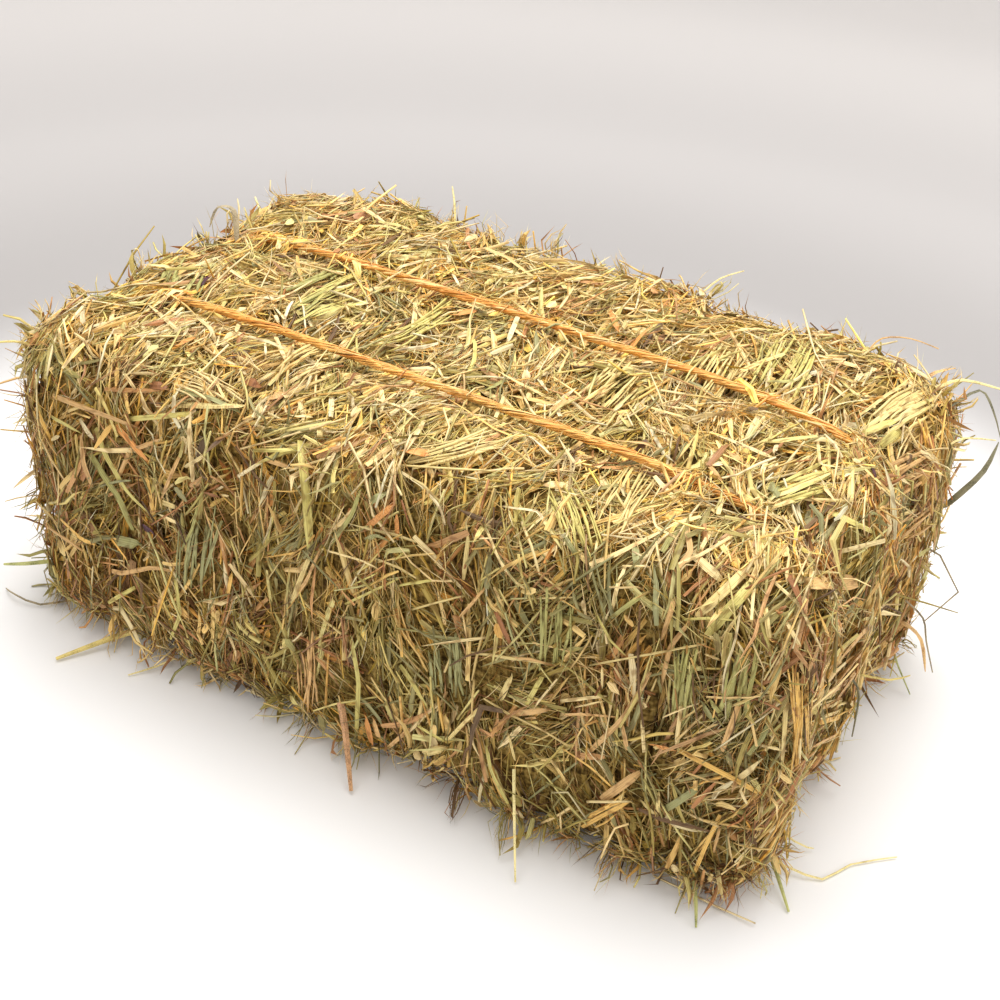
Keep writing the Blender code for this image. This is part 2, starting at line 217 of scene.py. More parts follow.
def finish_strand(flat):
    """Ends the modelling and gives the shape as arrays: places along, across and up, the faces,
    and where each face corner lies on the strand's own map."""
    bpy.ops.mesh.select_all(action="SELECT")
    bpy.ops.mesh.normals_make_consistent(inside=False)
    bpy.ops.object.mode_set(mode="OBJECT")
    model = bpy.context.object
    mesh = model.data
    points = np.array([point.co for point in mesh.vertices])
    middle = points[:, 2].mean()
    faces, spots = [], []
    for face in mesh.polygons:
        corners = list(face.vertices)
        faces.append(corners)
        along = points[corners, 0] + 0.5
        across = points[corners, 1]
        height = points[corners, 2] - middle
        if abs(face.normal.x) > 0.75 and np.ptp(along) < 0.1:
            side = 0.0 if face.normal.x < 0 else 1.0 - CAP_SHARE
            low = np.ptp(height) + 1e-6
            u = side + CAP_SHARE * (0.1 + 0.8 * (height - height.min()) / low)
            v = 0.5 + 0.4 * across
        else:
            u = CAP_SHARE + (1 - 2 * CAP_SHARE) * along
            if flat:
                v = 0.02 + 0.44 * (across + 0.5) + (0.52 if face.normal.z < 0 else 0.0)
                v = v + 0.03 * height
            else:
                angle = np.unwrap(np.arctan2(height, across))
                v = angle / math.tau
                v = v - math.floor(v.mean())
        spots.append(np.stack([u, v], 1))
    loose = np.concatenate(spots)
    low, high = loose.min(0), loose.max(0)
    spots = [(spot - low) / (high - low) for spot in spots]
    bpy.data.objects.remove(model)
    bpy.data.meshes.remove(mesh)
    return {"points": points, "faces": faces, "spots": spots, "smooth": not flat}


start_strand(3, FIBRE_CUTS)
size_at(lambda place: place.x < -0.4, (1, 0.7, 0.7), (-0.5, 0, 0))
size_at(lambda place: 0.1 < place.x < 0.3, (1, 0.8, 0.8))
pick(lambda place: place.x > 0.4)
bpy.ops.mesh.merge(type="CENTER")
FIBRE = finish_strand(flat=False)

start_strand(3, HAIR_CUTS)
size_at(lambda place: place.x < -0.4, (1, 0.7, 0.7), (-0.5, 0, 0))
pick(lambda place: place.x > 0.4)
bpy.ops.mesh.merge(type="CENTER")
HAIR = finish_strand(flat=False)

start_strand(4, STEM_CUTS)
size_at(lambda place: 0.1 < place.x < 0.3, (1, 1.2, 1.2))
size_at(lambda place: place.x > 0.4, (1, 0.8, 0.8), (0.5, 0, 0))
STEM = finish_strand(flat=False)

start_strand(4, BLADE_CUTS)
size_at(lambda place: True, (1, 1, 0.13))
pick(lambda place: abs(place.y) < 0.2)
bpy.ops.transform.translate(value=(0, 0, 0.11))
size_at(lambda place: place.x < -0.4, (1, 0.75, 0.8), (-0.5, 0, 0))
size_at(lambda place: 0.1 < place.x < 0.3, (1, 0.85, 1))
pick(lambda place: place.x > 0.4)
bpy.ops.mesh.merge(type="CENTER")
BLADE = finish_strand(flat=True)

deselect_all()
bpy.ops.mesh.primitive_grid_add(x_subdivisions=3, y_subdivisions=2, size=1)
bpy.ops.object.mode_set(mode="EDIT")
bpy.context.tool_settings.mesh_select_mode = (True, False, False)
size_at(lambda place: abs(place.x) > 0.4, (0.92, 0.45, 1))
pick(lambda place: abs(place.y) < 0.1)
bpy.ops.transform.translate(value=(0, 0, 0.1))
pick(lambda place: place.x > 0.1 and place.y > 0.2)
bpy.ops.transform.translate(value=(0.03, -0.08, 0.16))
pick(lambda place: place.x < -0.1 and place.y < -0.2)
bpy.ops.transform.translate(value=(-0.05, 0.06, 0.12))
bpy.ops.object.mode_set(mode="OBJECT")
thickness = bpy.context.object.modifiers.new("thickness", "SOLIDIFY")
thickness.thickness = 0.035
bpy.ops.object.modifier_apply(modifier="thickness")
bpy.ops.object.mode_set(mode="EDIT")
SCRAP = finish_strand(flat=True)

# The pressed form of the bale, which the loose hay lies on. It is read from the flakes of the
# frame, without the faces where one flake lies against the next.

FLAKES = [f"flake_{number}" for number in range(1, 10)]
TWINE_LINES = (-0.068, 0.031)
PRESSED_FLAT = 0.95


def outer_faces(name):
    """The corners (face, corner, xyz) of a flake's faces that show on the bale."""
    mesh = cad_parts[name].data
    mesh.calc_loop_triangles()
    places = np.empty(len(mesh.vertices) * 3)
    mesh.vertices.foreach_get("co", places)
    corners = np.empty(len(mesh.loop_triangles) * 3, int)
    mesh.loop_triangles.foreach_get("vertices", corners)
    faces = places.reshape(-1, 3)[corners.reshape(-1, 3)]
    facing = np.cross(faces[:, 1] - faces[:, 0], faces[:, 2] - faces[:, 0])
    size = np.linalg.norm(facing, axis=1)
    faces, facing = faces[size > 0], (facing / np.maximum(size, 1e-20)[:, None])[size > 0]
    if name == FLAKES[0]:
        inner = facing[:, 0] < -PRESSED_FLAT
    elif name == FLAKES[-1]:
        inner = facing[:, 0] > PRESSED_FLAT
    else:
        inner = abs(facing[:, 0]) > PRESSED_FLAT
    return faces[~inner]


flake_faces = {name: outer_faces(name) for name in FLAKES}
bale_faces = np.concatenate(list(flake_faces.values()))
corner_keys, corner_ids = np.unique(bale_faces.reshape(-1, 3).round(4), axis=0, return_inverse=True)
corner_ids = corner_ids.reshape(-1, 3)
face_normals = np.cross(bale_faces[:, 1] - bale_faces[:, 0], bale_faces[:, 2] - bale_faces[:, 0])
corner_normals = np.zeros_like(corner_keys)
for corner in range(3):
    np.add.at(corner_normals, corner_ids[:, corner], face_normals)
corner_normals /= np.maximum(np.linalg.norm(corner_normals, axis=1), 1e-12)[:, None]
form = BVHTree.FromPolygons(
    [tuple(place) for place in bale_faces.reshape(-1, 3)],
    [(3 * face, 3 * face + 1, 3 * face + 2) for face in range(len(bale_faces))],
)


def unit(vectors):
    return vectors / np.maximum(np.linalg.norm(vectors, axis=-1, keepdims=True), 1e-12)


def dot(first, second):
    return (first * second).sum(-1, keepdims=True)


def on_form(points):
    """The nearest places on the bale's form, and the way the smoothed form faces there."""
    found = [form.find_nearest(point) for point in points.tolist()]
    places = np.array([hit[0] for hit in found])
    index = np.array([hit[2] for hit in found])
    first, second, third = bale_faces[index].transpose(1, 0, 2)
    whole = np.cross(second - first, third - first)
    size = dot(whole, whole)
    weight_2 = dot(np.cross(places - first, third - first), whole) / size
    weight_3 = dot(np.cross(second - first, places - first), whole) / size
    normals = corner_normals[corner_ids[index]]
    facing = normals[:, 0] * (1 - weight_2 - weight_3) + normals[:, 1] * weight_2 + normals[:, 2] * weight_3
    return places, unit(facing)


def turned(vectors, axes, angles):
    """Vectors turned about unit axes that they are square to."""
    return vectors * np.cos(angles) + np.cross(axes, vectors) * np.sin(angles)


def drift(points, wave, seed):
    """A smooth random field from about -1 to 1, whose swells are about one wave long."""
    rng = np.random.default_rng(seed)
    total = np.zeros(len(points))
    for _ in range(6):
        way = unit(rng.normal(size=3)) * math.tau / wave * rng.uniform(0.6, 1.4)
        total += np.sin(points @ way + rng.uniform(0, math.tau))
    return total / 2.6


# The colours of the hay, from bleached straw to dead leaf, as the eye sees them in daylight.
# The top is given paler colours, the sides greener and browner ones, and the ends lie between.


def daylight(red, green, blue):
    """A colour as seen, in the light units that the shader works in."""
    seen = np.array([red, green, blue], float)
    return np.where(seen <= 0.04045, seen / 12.92, ((seen + 0.055) / 1.055) ** 2.4)


HAY_COLOURS = np.array([
    daylight(0.91, 0.82, 0.61),
    daylight(0.89, 0.77, 0.50),
    daylight(0.85, 0.79, 0.51),
    daylight(0.88, 0.71, 0.41),
    daylight(0.66, 0.60, 0.34),
    daylight(0.60, 0.57, 0.38),
    daylight(0.78, 0.60, 0.40),
    daylight(0.69, 0.49, 0.32),
    daylight(0.45, 0.34, 0.22),
    daylight(0.92, 0.86, 0.69),
])
TOP_SHARES = (0.31, 0.20, 0.19, 0.06, 0.07, 0.04, 0.05, 0.02, 0.015, 0.045)
SIDE_SHARES = (0.11, 0.18, 0.13, 0.05, 0.17, 0.13, 0.10, 0.06, 0.055, 0.015)
END_SHARES = (0.16, 0.21, 0.14, 0.06, 0.13, 0.07, 0.12, 0.06, 0.03, 0.02)
# How much more of each colour there is where the hay was cut green, and how far such a place reaches
GREENNESS = np.array([0, 0, 1.0, 0, 1.2, 1.2, -0.6, -1.2, -1.0, 0])
GREEN_PULL = 0.7
GREEN_WAVE = 0.05
SHARED_COLOUR = 0.5
BRIGHT_SPREAD = 0.09
BRIGHT_RANGE = (0.65, 1.25)
WARM_SPREAD = 0.05

hay_skin, shader, add, link = new_material("dry_hay")
tint = add("ShaderNodeAttribute", attribute_name="tint")
grain = add("ShaderNodeUVMap", uv_map="grain")
stretched = add("ShaderNodeMapping", {"Vector": grain.outputs["UV"], "Scale": (45.0, 2300.0, 1.0)})
streaks = add("ShaderNodeTexNoise", {"Vector": stretched.outputs["Vector"], "Scale": 1.0, "Detail": 1.0},
              noise_dimensions="2D")
patches = add("ShaderNodeMapping", {"Vector": grain.outputs["UV"], "Scale": (170.0, 260.0, 1.0)})
spots = add("ShaderNodeTexNoise", {"Vector": patches.outputs["Vector"], "Scale": 1.0, "Detail": 0.0},
            noise_dimensions="2D")
streak_shade = add("ShaderNodeValToRGB", {"Fac": streaks.outputs["Fac"]})
ramp(streak_shade, [(0.33, (0.70, 0.64, 0.53)), (0.47, (0.98, 0.985, 0.97)), (0.66, (1.07, 1.085, 1.11))])
spot_shade = add("ShaderNodeValToRGB", {"Fac": spots.outputs["Fac"]})
ramp(spot_shade, [(0.22, (0.50, 0.40, 0.30)), (0.42, (1.0, 1.0, 1.0)), (0.8, (1.08, 1.06, 1.0))])
streaked = add("ShaderNodeMix", {0: 1.0, 6: tint.outputs["Color"], 7: streak_shade.outputs["Color"]},
               data_type="RGBA", blend_type="MULTIPLY")
mottled = add("ShaderNodeMix", {0: 0.8, 6: streaked.outputs[2], 7: spot_shade.outputs["Color"]},
              data_type="RGBA", blend_type="MULTIPLY")
link(mottled.outputs[2], shader.inputs["Base Color"])
gloss = add("ShaderNodeMapRange", {"Value": streaks.outputs["Fac"], "To Min": 0.62, "To Max": 0.42})
link(gloss.outputs["Result"], shader.inputs["Roughness"])
shader.inputs["Specular IOR Level"].default_value = 0.35

painted_shade_chaff_skin, shader, add, link = new_material("packed_chaff_painted_shade")
coords = add("ShaderNodeTexCoord")
upright = add("ShaderNodeMapping", {"Vector": coords.outputs["Object"], "Scale": (520.0, 260.0, 90.0)})
slanted = add("ShaderNodeMapping", {"Vector": coords.outputs["Object"], "Scale": (300.0, 120.0, 480.0),
                                    "Rotation": (0.6, 0.3, 0.4)})
packed = add("ShaderNodeTexNoise", {"Vector": upright.outputs["Vector"], "Scale": 1.0, "Detail": 2.0})
crossed = add("ShaderNodeTexNoise", {"Vector": slanted.outputs["Vector"], "Scale": 1.0, "Detail": 1.0})
both = add("ShaderNodeMath", {0: packed.outputs["Fac"], 1: crossed.outputs["Fac"]}, operation="MULTIPLY")
# The chaff's brown, darkened with painted shade to stand for the shade in the gaps under the loose hay
chaff_colour_and_painted_shade = add("ShaderNodeValToRGB", {"Fac": both.outputs["Value"]})
ramp(chaff_colour_and_painted_shade, [(0.14, (0.06, 0.035, 0.007)), (0.26, (0.24, 0.15, 0.035)), (0.4, (0.48, 0.33, 0.10))])
link(chaff_colour_and_painted_shade.outputs["Color"], shader.inputs["Base Color"])
shader.inputs["Roughness"].default_value = 0.85
shader.inputs["Specular IOR Level"].default_value = 0.15

# How loose hay is laid. A strand starts at a place on the bale's form and is led along it both
# ways, over the rounded edges too, while a stiff one springs off at an edge. Nothing goes below
# the floor, and the hay is pressed down where a twine passes over it.

STRAND_POINTS = 4
FLOOR_CLEARANCE = 0.0003
TWINE_HOLD = 0.0062
TWINE_RELEASE = 0.0130
PRESSED_HEIGHT = -0.0026
PRESSED_RISE_MM = 5.5
OVER_TWINE = 0.0064
OVER_SPREAD = 2.4 * MM
OVER_HOLD = 0.0030
OVER_RELEASE = 0.0150
FAR_FACE_X = -0.21
FAR_FACE_TOP = 0.172
OVER_ON_FAR_FACE = 0.02
# For each twine, places along the bale and how much of the hay beside it lies over it there
OVER_SHARES = (
    ((-0.22, 0.8), (-0.172, 0.7), (-0.158, 0.015), (0.12, 0.015), (0.145, 0.25), (0.19, 0.6),
     (0.205, 0.95)),
    ((-0.22, 0.8), (-0.172, 0.7), (-0.158, 0.08), (-0.11, 0.08), (-0.10, 0.015), (0.19, 0.03),
     (0.205, 0.9)),
)


def lead(starts, headings, normals, lengths, turns, hug):
    """The middle lines (strand, point, xyz) of strands through their starts, and the way the
    form faces at each point. turns has the angle that each strand turns by at each point."""
    count = turns.shape[1]
    middle = (count - 1) / 2
    line = np.empty((len(starts), count, 3))
    faces = np.empty_like(line)
    step = (lengths / (count - 1))[:, None]
    for way in (1, -1):
        place, heading, normal = starts, headings * way, normals
        straight, straight_way = starts, headings * way
        for k in range(count // 2):
            index = count // 2 + k if way > 0 else (count - 1) // 2 - k
            reach = step * (0.5 if count % 2 == 0 and k == 0 else 1.0)
            if count % 2 and k == 0:
                line[:, index], faces[:, index] = place, normal
                index += way
            moved, normal = on_form(place + heading * reach)
            heading = unit(heading - normal * dot(heading, normal))
            heading = turned(heading, normal, turns[:, index, None])
            straight = straight + straight_way * reach
            straight_way = turned(
                unit(straight_way - normals * dot(straight_way, normals)), normals, turns[:, index, None]
            )
            place = moved
            line[:, index] = straight + (moved - straight) * hug[:, None]
            faces[:, index] = normal
    return line, faces


def near_twine(points, hold=TWINE_HOLD, release=TWINE_RELEASE):
    """0 right under a twine, rising to 1 clear of it."""
    away = np.min([abs(points[..., 1] - y) for y in TWINE_LINES], axis=0)
    share = np.clip((away - hold) / (release - hold), 0, 1)
    return share * share * (3 - 2 * share)


def beside_twines(heights, line, rng):
    """The heights of strands once some are pressed under the twines and others lie over them."""
    middle = line[:, line.shape[1] // 2]
    shares = [np.interp(middle[:, 0], *np.array(table).T) for table in OVER_SHARES]
    share = np.where(middle[:, 1] < sum(TWINE_LINES) / 2, *shares)
    on_far_face = (middle[:, 0] < FAR_FACE_X) & (middle[:, 2] < FAR_FACE_TOP)
    share = np.where(on_far_face, OVER_ON_FAR_FACE, share)
    over = (rng.uniform(0, 1, len(line)) < share)[:, None]
    free = near_twine(line)
    pressed = np.where(free < 1, np.minimum(heights, PRESSED_HEIGHT + free * PRESSED_RISE_MM * MM), heights)
    rise = 1 - near_twine(line, OVER_HOLD, OVER_RELEASE)
    crest = OVER_TWINE + rng.uniform(0, OVER_SPREAD, len(line))[:, None]
    return np.where(over, heights + (np.maximum(crest, heights) - heights) * rise, pressed)


def sweep(model, line, faces, heights, width, thickness, roll, twist):
    """Copies of a model bent along their lines: the places of all their points."""
    count = line.shape[1]
    line = line + faces * heights[..., None]
    along = np.empty_like(line)
    along[:, 1:-1] = line[:, 2:] - line[:, :-2]
    along[:, 0] = line[:, 1] - line[:, 0]
    along[:, -1] = line[:, -1] - line[:, -2]
    along = unit(along)
    side = unit(np.cross(faces, along))
    up = np.cross(along, side)
    angle = roll[:, None] + twist[:, None] * np.linspace(-0.5, 0.5, count)
    cos, sin = np.cos(angle)[..., None], np.sin(angle)[..., None]
    side, up = side * cos + up * sin, up * cos - side * sin
    half = abs(side[..., 2]) * width[:, None] / 2 + abs(up[..., 2]) * thickness[:, None] / 2
    line[..., 2] = np.maximum(line[..., 2], half + FLOOR_CLEARANCE)
    place = (model["points"][:, 0] + 0.5) * (count - 1)
    low = np.clip(place.astype(int), 0, count - 2)
    share = np.clip(place - low, -0.05, 1.05)[None, :, None]

    def at(values):
        return values[:, low] * (1 - share) + values[:, low + 1] * share

    across = model["points"][None, :, 1, None] * width[:, None, None]
    height = model["points"][None, :, 2, None] * thickness[:, None, None]
    return at(line) + at(side) * across + at(up) * height


def rows_of(model, count):
    """The faces of so many copies of a model, as corner numbers and faces' corner counts."""
    flat = np.concatenate(model["faces"])
    sizes = np.array([len(face) for face in model["faces"]])
    offset = np.arange(count)[:, None] * len(model["points"])
    return (flat[None] + offset).ravel(), np.tile(sizes, count)


class Heap:
    """A growing pile of laid strands, which ends as one mesh."""

    def __init__(self):
        self.batches = []

    def lay(self, model, line, faces, widths, flatness, tints, lengths, seed, heights=0, roll=0, twist=0):
        """Adds copies of a model that are bent along their lines, and draws their grain by the seed."""
        still = np.zeros(len(line))
        heights = heights + np.zeros(line.shape[:2])
        points = sweep(model, line, faces, heights, widths, widths * flatness, roll + still, twist + still)
        self.batches.append((model, points, tints, lengths, widths, seed))

    def strands(self):
        return sum(len(batch[1]) for batch in self.batches)

    def mesh(self, name, base=None):
        """One mesh of all the strands, with their tints, their grain and a map for each."""
        total = self.strands()
        across = math.ceil(math.sqrt(max(total, 1) * 1.02))
        places, corners, sizes, tints, grains, cells, skins, smooth = [], [], [], [], [], [], [], []
        offset, cell = 0, 0
        if base is not None:
            base_points, base_faces = base
            places.append(base_points)
            flat = np.array([corner for face in base_faces for corner in face])
            corners.append(flat)
            sizes.append(np.array([len(face) for face in base_faces]))
            tints.append(np.full((len(base_points), 3), 0.1))
            spot = base_points[flat][:, [1, 2]]
            grains.append(spot)
            low = (base_points.min(0))[[1, 2]]
            high = (base_points.max(0))[[1, 2]]
            cells.append((spot - low) / (high - low) / across)
            skins.append(np.ones(len(base_faces), int))
            smooth.append(np.ones(len(base_faces), bool))
            offset = len(base_points)
            cell = 1
        for model, points, tint, lengths, widths, seed in self.batches:
            count, per = points.shape[:2]
            flat, face_sizes = rows_of(model, count)
            places.append(points.reshape(-1, 3))
            corners.append(flat + offset)
            sizes.append(face_sizes)
            tints.append(np.repeat(tint, per, axis=0))
            spots = np.concatenate(model["spots"])
            rng = np.random.default_rng(seed)
            shift = rng.uniform(0, 5, (count, 1, 2))
            scale = np.stack([lengths, widths * 2.5], 1)[:, None]
            grains.append((spots[None] * scale + shift).reshape(-1, 2))
            number = cell + np.arange(count)
            grid = np.stack([number % across, number // across], 1)[:, None]
            cells.append(((grid + 0.1 + 0.8 * spots[None]) / across).reshape(-1, 2))
            skins.append(np.zeros(len(face_sizes), int))
            smooth.append(np.full(len(face_sizes), model["smooth"]))
            offset += count * per
            cell += count
        places, corners, sizes = np.concatenate(places), np.concatenate(corners), np.concatenate(sizes)
        mesh = bpy.data.meshes.new(name)
        mesh.vertices.add(len(places))
        mesh.vertices.foreach_set("co", places.ravel())
        mesh.loops.add(len(corners))
        mesh.loops.foreach_set("vertex_index", corners)
        mesh.polygons.add(len(sizes))
        mesh.polygons.foreach_set("loop_start", np.concatenate([[0], np.cumsum(sizes)[:-1]]))
        mesh.polygons.foreach_set("loop_total", sizes)
        mesh.polygons.foreach_set("material_index", np.concatenate(skins))
        mesh.polygons.foreach_set("use_smooth", np.concatenate(smooth))
        grain_map = mesh.uv_layers.new(name="grain")
        grain_map.uv.foreach_set("vector", np.concatenate(grains).ravel())
        strand_map = mesh.uv_layers.new(name="OFBake")
        strand_map.uv.foreach_set("vector", np.concatenate(cells).ravel())
        mesh.uv_layers.active = mesh.uv_layers["grain"]
        mesh.uv_layers["grain"].active_render = True
        tint_layer = mesh.attributes.new("tint", "FLOAT_COLOR", "POINT")
        four = np.ones((len(places), 4))
        four[:, :3] = np.concatenate(tints)
        tint_layer.data.foreach_set("color", four.ravel())
        mesh.update()
        mesh.validate()
        return mesh


def strand_piece(name, mesh, skin):
    """The object of a finished mesh of strands, which rides on the bale."""
    piece = bpy.data.objects.new(name, mesh)
    bpy.context.scene.collection.objects.link(piece)
    mesh.materials.append(skin)
    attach(piece, "root")
    return piece


# The nine flakes. Each is a slab of packed chaff, darkened with painted shade, with loose hay laid
# over the faces of it that show, in tufts whose strands lie almost side by side. Stems lie mostly in
# the plane of the flake, as the press left them: upright on the sides and across the bale on top.

STRANDS_PER_SQUARE_METRE = {"top": 116000, "side": 112000, "end": 100000, "under": 18000}
TUFT_STRANDS = 7.5
COMBED_SHARE = 0.35
COMBED_SPREAD = 0.35
LOOSE_SPREAD = 1.2
# Painted light and shade on the deeper strands: on top they are lightened and warmed in place of the light
# that fills the gaps, on the sides browned and darkened as painted shade, and on the front darkened further
# towards the near corner as painted shade
PAINTED_LIGHT_DEEP_TOP = np.array([1.60, 1.40, 0.82])
PAINTED_SHADE_DEEP_SIDE = np.array([1.08, 0.86, 0.38])
SHADED_REACH = 0.15
SHADED_LOSS = 0.45
HOLLOW_WAVE = 0.032
HOLLOW_FROM = 0.25
HOLLOW_ON_TOP = 0.4
HOLLOW_DEPTH = 0.0042
HOLLOW_THINNING = 0.45
RANDOM_SHARE = 0.22
END_WAY = (0.45, 0.9)
FIELD_WAVE = 0.07
FIELD_ANGLE = math.radians(30)
TUFT_ANGLE = math.radians(24)
STRAND_ANGLE = math.radians(10)
CHAFF_INSET = (0.0056, 0.0066, 0.0042)
CHAFF_LUMP = 0.012
CHAFF_RELIEF = 0.004
CHAFF_CLEARANCE = 0.0008
KINKED_SHARE = 0.14
KINK_ANGLE = 0.8
CURLY_SHARE = {"hair": 0.10, "fibre": 0.10}
CURLY_STIFF = 0.03
CURL_ANGLE = 0.55
TUFT_RADIUS = (0.002, 0.006)
LAYER_THICKNESS = 8.0 * MM
LAYER_BOTTOM = 5.0 * MM
LAYER_SHARES = (1.5, 1.6)
TOP_RISE_MM = 0.6
STRAND_TILT = 0.07
STRAND_ROLL = 0.6
STRAND_TWIST = 0.5
UNEVENNESS = 0.35 * MM
LOOSE_SHARE = 0.05
LOOSE_AT_EDGE = 0.11
LOOSE_RISE = (0.1, 0.42)
LOOSE_CURVE = 1.6
# How deep a strand lies before its painted light and shade begin, and the depth over which they grow full
PAINTED_DEPTH_FROM = 0.4
PAINTED_DEPTH_SPAN = 4
# Kind: model, share on the top, sides and ends, length and width ranges in mm, thickness over
# width, spread of its bends in degrees, how closely it follows the form
KINDS = (
    ("hair", HAIR, (0.36, 0.42, 0.33), (8, 34), (0.26, 0.54), 0.9, 10, (0.3, 1.0)),
    ("fibre", FIBRE, (0.35, 0.32, 0.29), (11, 46), (0.40, 0.90), 0.85, 10, (0.4, 1.0)),
    ("stem", STEM, (0.14, 0.12, 0.15), (16, 60), (0.7, 1.7), 0.85, 4, (0.25, 1.0)),
    ("blade", BLADE, (0.11, 0.10, 0.18), (14, 52), (1.2, 4.2), 0.9, 7, (0.4, 1.0)),
    ("scrap", SCRAP, (0.04, 0.04, 0.05), (6, 16), (2.2, 6.0), 0.9, 10, (0.8, 1.0)),
)


def side_weights(normals):
    """How much each place faces up or down, to a side and to an end."""
    weight = abs(normals) ** 3
    return weight / weight.sum(1, keepdims=True)


def sample(faces, rng):
    """Places spread evenly over faces, in number to the density of the side each faces."""
    facing = np.cross(faces[:, 1] - faces[:, 0], faces[:, 2] - faces[:, 0])
    area = np.linalg.norm(facing, axis=1) / 2
    facing = unit(facing)
    weight = side_weights(facing)
    many = STRANDS_PER_SQUARE_METRE
    vertical = np.where(facing[:, 2] > 0, many["top"], many["under"])
    density = weight[:, 2] * vertical + weight[:, 1] * many["side"] + weight[:, 0] * many["end"]
    wanted = np.cumsum(area * density / TUFT_STRANDS)
    count = int(wanted[-1])
    spots = (np.arange(count) + rng.uniform(0, 1, count)) / count * wanted[-1]
    chosen = np.minimum(np.searchsorted(wanted, spots), len(faces) - 1)
    r, s = rng.uniform(0, 1, (2, count))
    flip = r + s > 1
    r, s = np.where(flip, 1 - r, r)[:, None], np.where(flip, 1 - s, s)[:, None]
    corners = faces[chosen]
    return corners[:, 0] + (corners[:, 1] - corners[:, 0]) * r + (corners[:, 2] - corners[:, 0]) * s


def headings_at(places, normals, rng, tuft_ids, tuft_count):
    """The way each strand lies: a slow field, its tuft's own turn and its own small one."""
    weight = side_weights(normals)
    ends = np.where(normals[:, :1] > 0, 1.0, -1.0)
    main = (
        weight[:, 2:3] * np.array([0.0, 1.0, 0.0])
        + weight[:, 1:2] * np.array([0.0, 0.0, 1.0])
        + weight[:, 0:1] * np.concatenate([0 * ends, END_WAY[0] * ends, END_WAY[1] + 0 * ends], 1)
    )
    main = unit(main - normals * dot(main, normals))
    tuft_turn = rng.normal(0, 1, tuft_count) * TUFT_ANGLE
    astray = rng.uniform(0, 1, tuft_count) < RANDOM_SHARE
    tuft_turn = np.where(astray, rng.uniform(-math.pi / 2, math.pi / 2, tuft_count), tuft_turn)
    combed = rng.uniform(0, 1, tuft_count) < COMBED_SHARE
    own_turn = np.where(combed, COMBED_SPREAD, LOOSE_SPREAD)[tuft_ids] * STRAND_ANGLE
    turn = tuft_turn[tuft_ids] + rng.normal(0, 1, len(places)) * own_turn
    turn += drift(places, FIELD_WAVE, 11) * FIELD_ANGLE
    heading = turned(main, normals, turn[:, None])
    return heading * np.where(rng.uniform(0, 1, (len(places), 1)) < 0.5, -1, 1)


def tints_at(places, normals, rng, tuft_ids, tuft_count):
    """Each strand's colour: half the strands of a tuft share theirs, and brightness varies."""
    weight = side_weights(normals)
    shares = (
        weight[:, 2:3] * np.array(TOP_SHARES)
        + weight[:, 1:2] * np.array(SIDE_SHARES)
        + weight[:, 0:1] * np.array(END_SHARES)
    )
    pull = drift(places, GREEN_WAVE, 23)[:, None]
    shares = shares * np.exp(GREEN_PULL * pull * GREENNESS)
    steps = np.cumsum(shares, 1)
    steps /= steps[:, -1:]
    tuft_draw = rng.uniform(0, 1, tuft_count)[tuft_ids]
    own = rng.uniform(0, 1, len(places))
    draw = np.where(rng.uniform(0, 1, len(places)) < SHARED_COLOUR, tuft_draw, own)
    which = (draw[:, None] > steps).sum(1).clip(0, len(HAY_COLOURS) - 1)
    colour = HAY_COLOURS[which]
    bright = rng.normal(1.0, BRIGHT_SPREAD, len(places)).clip(*BRIGHT_RANGE)
    warm = rng.normal(0, WARM_SPREAD, len(places))
    return colour * bright[:, None] * np.stack([1 + warm, np.ones(len(places)), 1 - warm * 1.5], 1)


def hollow_at(places, normals):
    """0 on the even hay, rising to 1 in the hollows of the sides, which are shallow on top."""
    depth = np.clip(drift(places, HOLLOW_WAVE, 31) - HOLLOW_FROM, 0, 1)
    return depth * (HOLLOW_ON_TOP + (1 - HOLLOW_ON_TOP) * (1 - side_weights(normals)[:, 2]))


